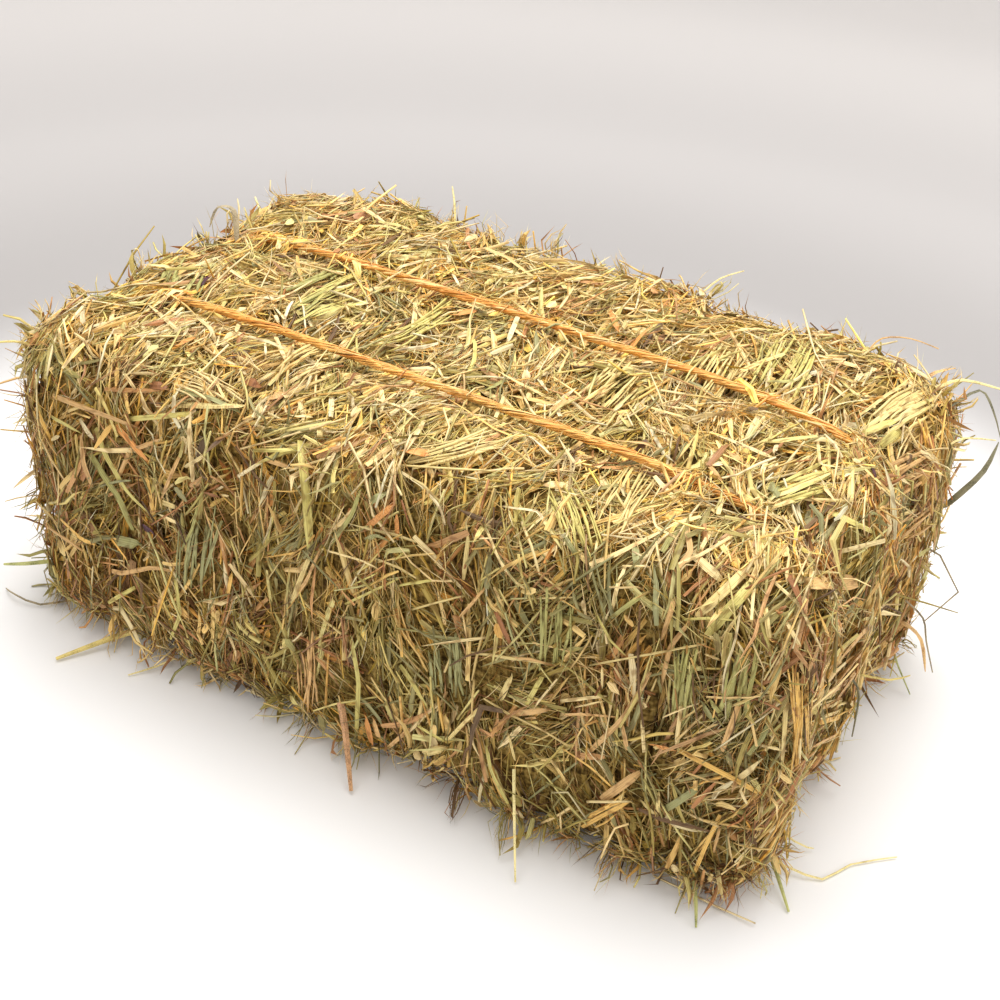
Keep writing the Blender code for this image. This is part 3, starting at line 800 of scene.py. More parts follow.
def lay_hay(heap, faces, seed):
    """Lays tufts of loose hay over the faces."""
    rng = np.random.default_rng(seed)
    tufts = sample(faces, rng)
    tuft_count = len(tufts)
    sizes = rng.poisson(TUFT_STRANDS * rng.gamma(1.6, 1 / 1.6, tuft_count)).clip(1, 30)
    tuft_places, tuft_normals = on_form(tufts)
    sizes = np.where(hollow_at(tuft_places, tuft_normals) > HOLLOW_THINNING, (sizes + 1) // 2, sizes)
    tuft_ids = np.repeat(np.arange(tuft_count), sizes)
    side = unit(np.cross(tuft_normals, rng.normal(size=(tuft_count, 3))))
    out = np.cross(tuft_normals, side)
    spread = rng.normal(0, 1, (len(tuft_ids), 2)) * rng.uniform(*TUFT_RADIUS, tuft_count)[tuft_ids, None]
    places = tuft_places[tuft_ids] + side[tuft_ids] * spread[:, :1] + out[tuft_ids] * spread[:, 1:]
    places, normals = on_form(places)
    headings = headings_at(places, normals, rng, tuft_ids, tuft_count)
    headings = unit(headings - normals * dot(headings, normals))
    tints = tints_at(places, normals, rng, tuft_ids, tuft_count)
    weight = side_weights(normals)
    shares = weight[:, [2, 1, 0]] @ np.array([kind[2] for kind in KINDS]).T
    steps = np.cumsum(shares, 1) / shares.sum(1, keepdims=True)
    which = (rng.uniform(0, 1, len(places))[:, None] > steps).sum(1).clip(0, len(KINDS) - 1)
    for number, (name, model, _, length, width, flatness, bend, follow) in enumerate(KINDS):
        mine = which == number
        count = int(mine.sum())
        lengths = rng.triangular(length[0], length[0] * 0.6 + length[1] * 0.3, length[1], count) * MM
        widths = rng.triangular(width[0], width[0] * 0.7 + width[1] * 0.3, width[1], count) * MM
        turns = rng.normal(0, math.radians(bend), (count, STRAND_POINTS))
        kinked = rng.uniform(0, 1, count) < KINKED_SHARE
        turns[:, 1] += np.where(kinked, rng.normal(0, KINK_ANGLE, count), 0)
        curly = rng.uniform(0, 1, count) < CURLY_SHARE.get(name, CURLY_STIFF)
        turns += np.where(curly, rng.normal(0, CURL_ANGLE, count), 0)[:, None]
        hug = rng.uniform(*follow, count)
        line, facing = lead(places[mine], headings[mine], normals[mine], lengths, turns, hug)
        deep = rng.beta(*LAYER_SHARES, count) * LAYER_THICKNESS - LAYER_BOTTOM
        deep = deep + weight[mine, 2] * TOP_RISE_MM * MM
        tilt = rng.normal(0, STRAND_TILT, count) * lengths
        heights = deep[:, None] + tilt[:, None] * np.linspace(-1, 1, STRAND_POINTS)
        heights -= hollow_at(places[mine], normals[mine])[:, None] * HOLLOW_DEPTH
        at_edge = 1 - weight[mine].max(1)
        loose = rng.uniform(0, 1, count) < LOOSE_SHARE + LOOSE_AT_EDGE * at_edge
        rise = np.where(loose, rng.uniform(*LOOSE_RISE, count) * lengths, 0)
        heights += rise[:, None] * np.linspace(0, 1, STRAND_POINTS) ** LOOSE_CURVE
        heights += rng.normal(0, UNEVENNESS, heights.shape)
        heights = beside_twines(heights, line, rng)
        roll = rng.normal(0, STRAND_ROLL, count)
        twist = rng.normal(0, STRAND_TWIST, count)
        # Painted light and shade by depth: deep strands are lightened and warmed on top, browned and
        # darkened on the sides, and darker still on the front towards the near corner
        sunk = np.clip((PAINTED_DEPTH_FROM * MM - deep) / (PAINTED_DEPTH_SPAN * MM), 0, 1)[:, None]
        painted_depth_tint = 1 + sunk * (PAINTED_SHADE_DEEP_SIDE + (PAINTED_LIGHT_DEEP_TOP - PAINTED_SHADE_DEEP_SIDE) * weight[mine, 2:3] - 1)
        shaded = np.clip(places[mine, :1] / SHADED_REACH, 0, 1) * weight[mine, 1:2]
        shaded = shaded * (normals[mine, 1:2] < 0)
        painted_depth_tint = painted_depth_tint * (1 - SHADED_LOSS * shaded * sunk)
        heap.lay(model, line, facing, widths, flatness, tints[mine] * painted_depth_tint, lengths, seed * 10 + number,
                 heights, roll, twist)


def chaff_core(name):
    """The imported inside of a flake: its own form drawn in under the loose hay, and roughened."""
    deselect_all()
    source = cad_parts[name]
    core = bpy.data.objects.new(f"{name}_core", source.data.copy())
    bpy.context.scene.collection.objects.link(core)
    bpy.context.view_layer.objects.active = core
    core.select_set(True)
    bpy.ops.object.mode_set(mode="EDIT")
    bpy.ops.mesh.select_all(action="SELECT")
    bpy.ops.mesh.remove_doubles(threshold=0.0001)
    low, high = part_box(name)
    size = high - low
    shrink = [1.0, 1 - 2 * CHAFF_INSET[1] / size.y, 1 - 2 * CHAFF_INSET[2] / size.z]
    middle = (low + high) / 2
    if name in (FLAKES[0], FLAKES[-1]):
        shrink[0] = 1 - CHAFF_INSET[0] / size.x
        middle.x = low.x if name == FLAKES[0] else high.x
    bpy.ops.transform.resize(value=shrink, center_override=middle)
    bpy.ops.mesh.subdivide(number_cuts=1)
    bpy.ops.object.mode_set(mode="OBJECT")
    clouds = bpy.data.textures.new(f"{name}_lumps", "CLOUDS")
    clouds.noise_scale = CHAFF_LUMP
    lumps = core.modifiers.new("lumps", "DISPLACE")
    lumps.texture = clouds
    lumps.texture_coords = "LOCAL"
    lumps.strength = CHAFF_RELIEF
    lumps.mid_level = 0.5
    bpy.ops.object.modifier_apply(modifier="lumps")
    points = np.array([point.co for point in core.data.vertices])
    points[:, 2] = np.maximum(points[:, 2], CHAFF_CLEARANCE)
    faces = [list(face.vertices) for face in core.data.polygons]
    mesh = core.data
    bpy.data.objects.remove(core)
    bpy.data.meshes.remove(mesh)
    bpy.data.textures.remove(clouds)
    return points, faces


for number, name in enumerate(FLAKES):
    heap = Heap()
    faces = flake_faces[name]
    if name in (FLAKES[0], FLAKES[-1]):
        facing = unit(np.cross(faces[:, 1] - faces[:, 0], faces[:, 2] - faces[:, 0]))
        at_end = abs(facing[:, 0]) > 0.6
        end_heap = Heap()
        lay_hay(end_heap, faces[at_end], 200 + number)
        end_name = "near_end_hay" if name == FLAKES[0] else "far_end_hay"
        strand_piece(end_name, end_heap.mesh(end_name), hay_skin)
        faces = faces[~at_end]
    lay_hay(heap, faces, 100 + number)
    hay = strand_piece(f"{name}_hay", heap.mesh(f"{name}_hay", chaff_core(name)), hay_skin)
    hay.data.materials.append(painted_shade_chaff_skin)
    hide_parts(name)

# The two twines. Each is a flat ribbon of orange plastic that was split into fibres and twisted,
# drawn tight round the bale and tied on the far end with a knot whose two tails fray. Loose
# fibrils stand off it. It lies in the groove that it presses into the hay.

TWINE_RADIUS = 0.0023
TWINE_STAND_OFF = 0.0041
TWINE_TRACK = 0.0045
TWINE_PITCH = 0.065
TWINE_FLATNESS = 1.28
TWINE_STEP = 0.0015
TWINE_LANES = 17
FAR_HALF_X = -0.15
KNOT_HEIGHT = 0.104
KNOT_OFF = (-0.0035, 0, 0)
KNOT_SIZE = (0.0036, 0.0040, 0.0062)
TAIL_REACHES = ((-0.010, 0.016, -0.038), (-0.013, -0.021, -0.027))
TAIL_BOW = (-0.004, 0.0, 0.004)
# Yarns, radius, width, pitch and how far they open at the end
KNOT_YARNS = (12, 0.0013, 0.0013, 0.03, 0.0)
TAIL_YARNS = (11, 0.0012, 0.0010, 0.035, 1.7)
TWINE_COLOURS = np.array([
    daylight(0.97, 0.74, 0.40),
    daylight(0.95, 0.68, 0.33),
    daylight(0.99, 0.82, 0.53),
    daylight(0.90, 0.60, 0.28),
])

twine_skin, shader, add, link = new_material("twisted_twine")
tint = add("ShaderNodeAttribute", attribute_name="tint")
grain = add("ShaderNodeUVMap", uv_map="grain")
fine = add("ShaderNodeMapping", {"Vector": grain.outputs["UV"], "Scale": (40.0, 2600.0, 1.0)})
splits = add("ShaderNodeTexNoise", {"Vector": fine.outputs["Vector"], "Scale": 1.0, "Detail": 3.0})
# The split fibres' own lighter and darker lines, with painted shade in the grooves that the same noise
# bumps in and a paler painted highlight on the ridges
split_tone_and_painted_shade = add("ShaderNodeValToRGB", {"Fac": splits.outputs["Fac"]})
ramp(split_tone_and_painted_shade, [(0.3, (0.78, 0.66, 0.52)), (0.5, (1.0, 1.0, 1.0)), (0.75, (1.08, 1.13, 1.25))])
fibrous = add("ShaderNodeMix", {0: 1.0, 6: tint.outputs["Color"], 7: split_tone_and_painted_shade.outputs["Color"]},
              data_type="RGBA", blend_type="MULTIPLY")
link(fibrous.outputs[2], shader.inputs["Base Color"])
sheen = add("ShaderNodeMapRange", {"Value": splits.outputs["Fac"], "To Min": 0.55, "To Max": 0.34})
link(sheen.outputs["Result"], shader.inputs["Roughness"])
grooves = add("ShaderNodeBump", {"Strength": 0.6, "Distance": 0.0003, "Height": splits.outputs["Fac"]})
link(grooves.outputs["Normal"], shader.inputs["Normal"])
shader.inputs["Specular IOR Level"].default_value = 0.4

start_strand(4, (-0.4, -0.3, -0.2, -0.1, 0.0, 0.1, 0.2, 0.3, 0.4))
size_at(lambda place: True, (1, 1, 0.6))
size_at(lambda place: abs(place.x) > 0.45, (1, 0.25, 0.25))
YARN = finish_strand(flat=False)
YARN_STATIONS = 11
YARN_SPAN = (0.07, 0.10)
YARN_FIRST = 0.06
YARN_OVERLAP = 0.014
YARN_STRAY = 0.12
YARN_WAVE = 0.10
YARN_SINK = 0.25
YARN_FLATNESS = 0.8
YARN_RADIUS = (0.0016, 0.0020)
YARN_WIDTH = (0.0011, 0.0016)
CORE_LANES = 3
CORE_RADIUS = 0.0005
CORE_WIDTH = 0.0028
FIBRILS = 190
FIBRIL_SPAN = (0.006, 0.026)
FIBRIL_WIDTH = (0.0003, 0.0005)
FIBRIL_LIFT = (0.0002, 0.0042)
FIBRIL_ANGLES = (-2.0, 2.0)
FIBRIL_ROOT = 0.85


def tight_loop(y):
    """The middle line of the twine round the pressed hay, closed, at even steps."""
    ordered = sorted(set(map(tuple, corner_keys[abs(corner_keys[:, 1] - y) < TWINE_TRACK][:, [0, 2]])))
    hull = []
    for run in (ordered, ordered[::-1]):
        side = []
        for point in run:
            while len(side) > 1:
                last, onward = np.subtract(side[-1], side[-2]), np.subtract(point, side[-1])
                if last[0] * onward[1] > last[1] * onward[0]:
                    break
                side.pop()
            side.append(point)
        hull += side[:-1]
    hull = np.array(hull)
    ways = unit(np.roll(hull, -1, 0) - hull)
    out = np.stack([ways[:, 1], -ways[:, 0]], 1) * TWINE_STAND_OFF
    rim = np.stack([hull + out, np.roll(hull, -1, 0) + out], 1).reshape(-1, 2)
    rim = np.concatenate([rim, rim[:1]])
    along = np.concatenate([[0], np.cumsum(np.linalg.norm(np.diff(rim, axis=0), axis=1))])
    count = int(along[-1] / TWINE_STEP)
    even = np.linspace(0, along[-1], count, endpoint=False)
    loop = np.stack([np.interp(even, along, rim[:, axis]) for axis in (0, 1)], 1)
    for _ in range(3):
        loop = (np.roll(loop, 1, 0) + loop + np.roll(loop, -1, 0)) / 3
    return np.stack([loop[:, 0], np.full(count, y), loop[:, 1]], 1), along[-1]


def along_loop(loop, length, places):
    """Where places along a closed loop are, and which way it runs and faces outwards there."""
    spots = (places / length * len(loop)) % len(loop)
    low = spots.astype(int) % len(loop)
    share = (spots - spots.astype(int))[..., None]
    here = loop[low] * (1 - share) + loop[(low + 1) % len(loop)] * share
    way = unit(loop[(low + 3) % len(loop)] - loop[low - 3])
    out = np.cross(way, np.array([0.0, 1.0, 0.0]))
    return here, way, out


def twine_tints(count, rng):
    return TWINE_COLOURS[rng.choice(4, count, p=(0.45, 0.25, 0.2, 0.1))] * rng.uniform(0.9, 1.1, (count, 1))


def lay_yarns(heap, path, lanes, radius, width, pitch, spread, rng, seed):
    """Twists yarns round a path (point, xyz), which open out towards its end by the spread."""
    count = YARN_STATIONS
    way = unit(np.gradient(path, axis=0))
    length = np.linalg.norm(np.diff(path, axis=0), axis=1).sum()
    aside = unit(np.cross(way, np.array([0.3, 0.1, 0.95])))
    above = np.cross(way, aside)
    share = np.linspace(0, 1, len(path))
    spots = np.linspace(0, len(path) - 1, count)
    turn = rng.uniform(0, math.tau, lanes)[:, None] + share * length / pitch * math.tau
    off = radius * np.sqrt(rng.uniform(0.05, 1, lanes))[:, None] * (1 + spread * share**1.5)
    off = off * (1 + 0.12 * np.sin(share * 9 + rng.uniform(0, 6, lanes)[:, None]))
    line = path + aside * (np.cos(turn) * off)[..., None] + above * (np.sin(turn) * off)[..., None]

    def thinned(points):
        """A line at the yarn's own stations."""
        return np.stack([np.interp(spots, np.arange(len(path)), points[:, axis]) for axis in range(3)], 1)

    line = np.stack([thinned(one) for one in line])
    facing = unit(line - thinned(path) + 1e-6)
    widths = rng.uniform(0.8, 1.2, lanes) * width
    tints = twine_tints(lanes, rng)
    heap.lay(YARN, line, facing, widths, YARN_FLATNESS, tints, np.full(lanes, length), seed)


for number, y in enumerate(TWINE_LINES):
    name = f"twine_{number + 1}"
    rng = np.random.default_rng(700 + number)
    loop, length = tight_loop(y)
    heap = Heap()
    starts, phases, radii, spans, widths = [], [], [], [], []
    for lane in range(TWINE_LANES):
        inner = lane >= TWINE_LANES - CORE_LANES
        place = rng.uniform(0, YARN_FIRST)
        phase = lane / (TWINE_LANES - CORE_LANES) * math.tau
        end = place + length
        while place < end:
            span = rng.uniform(*YARN_SPAN)
            starts.append(place)
            phases.append(phase + rng.normal(0, YARN_STRAY))
            radii.append(CORE_RADIUS if inner else rng.uniform(*YARN_RADIUS))
            spans.append(span)
            widths.append(CORE_WIDTH if inner else rng.uniform(*YARN_WIDTH))
            place += span - YARN_OVERLAP
    count = len(starts)
    starts, phases, radii, spans, widths = map(np.array, (starts, phases, radii, spans, widths))
    stations = starts[:, None] + spans[:, None] * np.linspace(0, 1, YARN_STATIONS)
    here, way, out = along_loop(loop, length, stations)
    wave = 1 + YARN_WAVE * np.sin(stations * 140 + phases[:, None] * 3)
    ends = 1 - YARN_SINK * (np.linspace(-1, 1, YARN_STATIONS) ** 6)
    angle = phases[:, None] + stations / TWINE_PITCH * math.tau
    aside = np.array([0.0, 1.0, 0.0])
    outward = out * np.cos(angle)[..., None] + aside * np.sin(angle)[..., None]
    spread = outward * (1 + (TWINE_FLATNESS - 1) * abs(np.sin(angle))[..., None])
    line = here + spread * (radii[:, None] * wave * ends)[..., None]
    heap.lay(YARN, line, outward, widths, YARN_FLATNESS, twine_tints(count, rng), spans, 710 + number)

    starts = rng.uniform(0, length, FIBRILS)
    spans = rng.uniform(*FIBRIL_SPAN, FIBRILS)
    stations = starts[:, None] + spans[:, None] * np.linspace(0, 1, STRAND_POINTS)
    here, way, out = along_loop(loop, length, stations)
    angle = rng.uniform(*FIBRIL_ANGLES, FIBRILS)[:, None] + stations / TWINE_PITCH * 3
    outward = out * np.cos(angle)[..., None] + aside * np.sin(angle)[..., None]
    lift = rng.uniform(*FIBRIL_LIFT, FIBRILS)[:, None] * np.linspace(0, 1, STRAND_POINTS) ** 1.5
    lift = TWINE_RADIUS * FIBRIL_ROOT + lift
    line = here + outward * lift[..., None]
    widths = rng.uniform(*FIBRIL_WIDTH, FIBRILS)
    heap.lay(FIBRE, line, outward, widths, 1.0, twine_tints(FIBRILS, rng), spans, 720 + number)

    far = loop[loop[:, 0] < FAR_HALF_X]
    knot = far[abs(far[:, 2] - KNOT_HEIGHT).argmin()] + np.array(KNOT_OFF)
    round_knot = np.linspace(0, math.tau, 40)
    trefoil = np.stack([
        -np.sin(3 * round_knot),
        (np.sin(round_knot) + 2 * np.sin(2 * round_knot)) / 3,
        (np.cos(round_knot) - 2 * np.cos(2 * round_knot)) / 3,
    ], 1)
    lay_yarns(heap, knot + trefoil * KNOT_SIZE, *KNOT_YARNS, rng, 730 + number)
    for tail, reach in enumerate(TAIL_REACHES):
        share = np.linspace(0, 1, 20)[:, None]
        bow = np.array(TAIL_BOW) * 4 * share * (1 - share)
        path = knot + np.array(reach) * share + bow
        lay_yarns(heap, path, *TAIL_YARNS, rng, 740 + number * 2 + tail)
    twine = strand_piece(f"{name}_yarns", heap.mesh(f"{name}_yarns"), twine_skin)
    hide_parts(name)

# The straws, blades and leaves that can be told apart on the pressed hay, and the tufts that the
# press has combed. They lie on top of the rest, each where it is seen from the near corner, with
# its ends tucked in. Straws are round and jointed, blades are folded and leaves are thin.

STRAW_COLOURS = {
    "bleached": daylight(0.93, 0.86, 0.68),
    "cream": daylight(0.92, 0.83, 0.60),
    "pale": daylight(0.89, 0.80, 0.54),
    "golden": daylight(0.90, 0.73, 0.40),
    "yellow_green": daylight(0.82, 0.77, 0.46),
    "green": daylight(0.68, 0.66, 0.40),
    "grey_green": daylight(0.62, 0.61, 0.41),
    "tan": daylight(0.84, 0.68, 0.45),
    "orange": daylight(0.86, 0.61, 0.35),
    "brown": daylight(0.62, 0.42, 0.27),
    "purple": daylight(0.33, 0.19, 0.24),
}
LONG_CUTS = (-0.39, -0.28, -0.17, -0.06, 0.06, 0.17, 0.28, 0.39)
STATIONS = 11
PICTURE_SIDE = 1000
LEAST_FACING = 0.3
TUCK = -0.0008
LIFT = (0.0030, 0.0046)
LEAF_FROM = 6.5
STRAW_UNDER = 3.2
STRAW_SWAY = 0.15
TUFT_SWAY = 0.35
TUFT_WIDTHS = (0.45, 1.1)
TUFT_FILL = 2
TUFT_LENGTHS = (0.5, 1.1)
TUFT_ACROSS = (-0.6, 0.6)
TUFT_ALONG = 6
TUFT_TILT = 0.08
STRAW_SHARE = 0.6
STRAW_BRIGHTNESS = 0.06
STRAW_ROLL = 0.25
STRAW_FLATNESS = 0.8
LEAF_FLATNESS = 0.30
BLADE_FLATNESS = 0.55

start_strand(5, LONG_CUTS)
size_at(lambda place: 0.05 < place.x < 0.08, (1, 1.3, 1.3))
size_at(lambda place: place.x > 0.45, (1, 0.8, 0.8), (0.5, 0, 0))
LONG_STRAW = finish_strand(flat=False)

start_strand(4, LONG_CUTS)
size_at(lambda place: True, (1, 1, 0.13))
pick(lambda place: abs(place.y) < 0.2)
bpy.ops.transform.translate(value=(0, 0, 0.10))
size_at(lambda place: place.x < -0.45, (1, 0.85, 0.9), (-0.5, 0, 0))
size_at(lambda place: 0.35 < place.x < 0.45, (1, 0.85, 1))
size_at(lambda place: place.x > 0.45, (1, 0.6, 0.7), (0.5, 0, 0))
LONG_BLADE = finish_strand(flat=True)

# Colour, width and corners (x, y) of each, in pixels of the picture
FRONT_STRAWS = (
    ("yellow_green", 9, 301, 441, 306, 495, 310, 550),
    ("pale", 5, 310, 555, 300, 580, 290, 607),
    ("tan", 4, 320, 549, 307, 580, 288, 607),
    ("cream", 2.5, 289, 471, 335, 455),
    ("bleached", 2, 297, 489, 327, 462),
    ("orange", 6, 367, 527, 397, 502),
    ("orange", 5, 396, 495, 397, 540),
    ("brown", 2, 395, 480, 410, 527),
    ("bleached", 3, 401, 472, 422, 485, 440, 507, 445, 525),
    ("cream", 2, 321, 549, 360, 560, 385, 572),
    ("yellow_green", 2, 352, 585, 380, 572, 407, 550),
    ("yellow_green", 2.5, 345, 605, 375, 590, 400, 577),
    ("yellow_green", 3, 400, 585, 435, 580),
    ("pale", 2.5, 412, 609, 467, 595),
    ("pale", 5, 466, 522, 468, 540, 463, 580),
    ("cream", 3, 485, 527, 500, 562, 515, 582, 531, 592),
    ("tan", 3.5, 460, 617, 486, 587),
    ("cream", 3.2, 422, 646, 489, 637),
    ("pale", 3, 456, 651, 500, 656, 555, 665),
    ("grey_green", 5, 365, 540, 377, 535, 390, 542),
    ("grey_green", 8, 370, 502, 385, 492),
    ("green", 5, 360, 490, 352, 515, 330, 545),
    ("brown", 5, 495, 610, 510, 645),
    ("bleached", 3.5, 502, 506, 538, 511, 546, 525),
    ("cream", 3, 521, 521, 532, 547, 540, 575),
    ("cream", 3, 597, 540, 595, 557, 589, 579),
    ("cream", 3, 652, 505, 655, 527, 682, 540),
    ("cream", 3, 655, 535, 662, 577),
    ("tan", 6, 685, 517, 691, 552, 675, 572),
    ("cream", 9, 691, 553, 722, 580),
    ("cream", 4, 735, 534, 700, 555, 672, 567),
    ("cream", 4, 711, 531, 697, 555),
    ("pale", 10, 752, 564, 697, 617),
    ("yellow_green", 11, 756, 579, 707, 635),
    ("bleached", 2.5, 742, 601, 736, 640, 724, 671, 721, 712),
    ("bleached", 2, 736, 640, 746, 655),
    ("cream", 2.5, 705, 654, 720, 660),
    ("pale", 2.5, 590, 665, 640, 656, 705, 644),
    ("tan", 5, 690, 621, 670, 647, 660, 690),
    ("tan", 6, 675, 597, 662, 640),
    ("green", 5, 647, 592, 607, 620),
    ("tan", 5.5, 650, 672, 635, 700, 622, 720, 581, 760),
    ("cream", 3.5, 560, 701, 607, 696),
    ("cream", 2, 575, 707, 605, 701),
    ("tan", 4, 525, 719, 575, 714, 620, 717),
    ("cream", 2.5, 602, 665, 602, 689),
    ("tan", 3, 500, 657, 530, 659, 555, 666),
    ("yellow_green", 5, 595, 612, 610, 640, 625, 655),
    ("cream", 4, 625, 567, 617, 587, 612, 610),
    ("cream", 2.5, 622, 566, 650, 566, 651, 581),
    ("grey_green", 5, 560, 530, 580, 560),
    ("grey_green", 7, 635, 545, 637, 572),
    ("yellow_green", 2.5, 682, 620, 712, 618, 737, 620),
    ("golden", 5, 677, 749, 720, 772, 767, 797),
    ("orange", 7, 647, 744, 675, 751),
    ("cream", 3, 587, 802, 632, 801),
    ("golden", 4.5, 582, 827, 632, 800),
    ("golden", 4, 720, 815, 692, 877),
    ("tan", 3, 720, 825, 714, 852),
    ("cream", 4.5, 660, 825, 672, 850, 692, 887),
    ("grey_green", 7, 665, 810, 700, 787),
    ("pale", 4, 657, 817, 659, 790),
    ("pale", 3, 657, 817, 640, 800),
    ("orange", 9, 716, 853, 740, 859, 780, 852),
    ("tan", 6, 740, 700, 720, 757),
    ("cream", 4.5, 682, 700, 676, 747),
    ("cream", 3.5, 642, 720, 645, 767),
    ("tan", 5, 622, 722, 627, 750),
    ("tan", 9, 602, 800, 640, 772),
    ("golden", 3.5, 560, 747, 590, 767, 615, 790),
    ("cream", 7, 762, 760, 735, 782),
    ("grey_green", 8, 700, 700, 713, 722),
    ("green", 5, 708, 698, 722, 716),
    ("tan", 5.5, 53, 396, 120, 421, 140, 429),
    ("bleached", 5, 80, 421, 94, 441),
    ("yellow_green", 5.5, 95, 428, 105, 455, 127, 492, 150, 515),
    ("green", 6, 88, 452, 120, 500, 133, 530),
    ("yellow_green", 4, 52, 417, 82, 434),
    ("tan", 5.5, 81, 436, 83, 462, 92, 487),
    ("orange", 6, 115, 425, 135, 447, 150, 465),
    ("tan", 5, 127, 452, 160, 440),
    ("tan", 4, 130, 447, 118, 480),
    ("golden", 4, 145, 467, 156, 524),
    ("tan", 5, 180, 455, 160, 500),
    ("cream", 2, 182, 437, 202, 455, 232, 492),
    ("cream", 4, 185, 467, 207, 454),
    ("bleached", 3.5, 217, 490, 266, 459),
    ("tan", 5, 266, 459, 290, 468),
    ("cream", 3, 220, 495, 240, 497),
    ("brown", 8, 203, 492, 220, 498),
    ("golden", 3, 242, 465, 241, 520),
    ("golden", 4.5, 56, 515, 82, 540, 102, 547),
    ("tan", 3, 45, 525, 85, 552),
    ("tan", 4.5, 95, 565, 120, 574, 155, 567, 177, 572),
    ("green", 3, 200, 497, 192, 530, 180, 552),
    ("yellow_green", 4, 175, 575, 180, 615, 170, 640),
    ("tan", 4, 172, 580, 160, 600, 157, 617),
    ("yellow_green", 4, 117, 602, 145, 627),
    ("yellow_green", 4, 135, 587, 105, 605),
    ("tan", 3, 202, 502, 215, 540, 210, 570),
    ("yellow_green", 3.5, 275, 507, 265, 547),
    ("golden", 4, 255, 520, 240, 580),
    ("golden", 4, 232, 572, 227, 597),
    ("grey_green", 10, 115, 540, 140, 545),
    ("cream", 6, 160, 515, 180, 525),
    ("pale", 6, 162, 502, 182, 510),
    ("yellow_green", 2.5, 92, 585, 94, 625),
    ("yellow_green", 4.5, 351, 640, 359, 682, 356, 740),
    ("yellow_green", 4.5, 400, 665, 415, 687, 429, 711),
    ("golden", 3, 437, 695, 444, 732),
    ("pale", 4, 480, 707, 447, 741),
    ("yellow_green", 4, 414, 724, 445, 742),
    ("pale", 8, 424, 754, 447, 747),
    ("cream", 3.5, 440, 775, 475, 807),
    ("tan", 2.5, 450, 785, 480, 791, 500, 784, 540, 770, 560, 762),
    ("yellow_green", 4, 487, 745, 490, 770, 512, 812),
    ("cream", 3, 475, 812, 512, 811, 525, 819, 540, 812),
    ("orange", 4, 460, 827, 472, 812, 480, 790),
    ("tan", 7, 511, 714, 550, 710),
    ("pale", 7, 512, 675, 500, 700),
    ("yellow_green", 5, 542, 677, 525, 707),
    ("tan", 4, 385, 750, 412, 727),
    ("orange", 8, 364, 712, 372, 745),
    ("tan", 5, 372, 716, 380, 742),
    ("pale", 4, 507, 730, 515, 760),
    ("purple", 9, 143, 527, 154, 533),
    ("purple", 9, 449, 812, 462, 818),
)
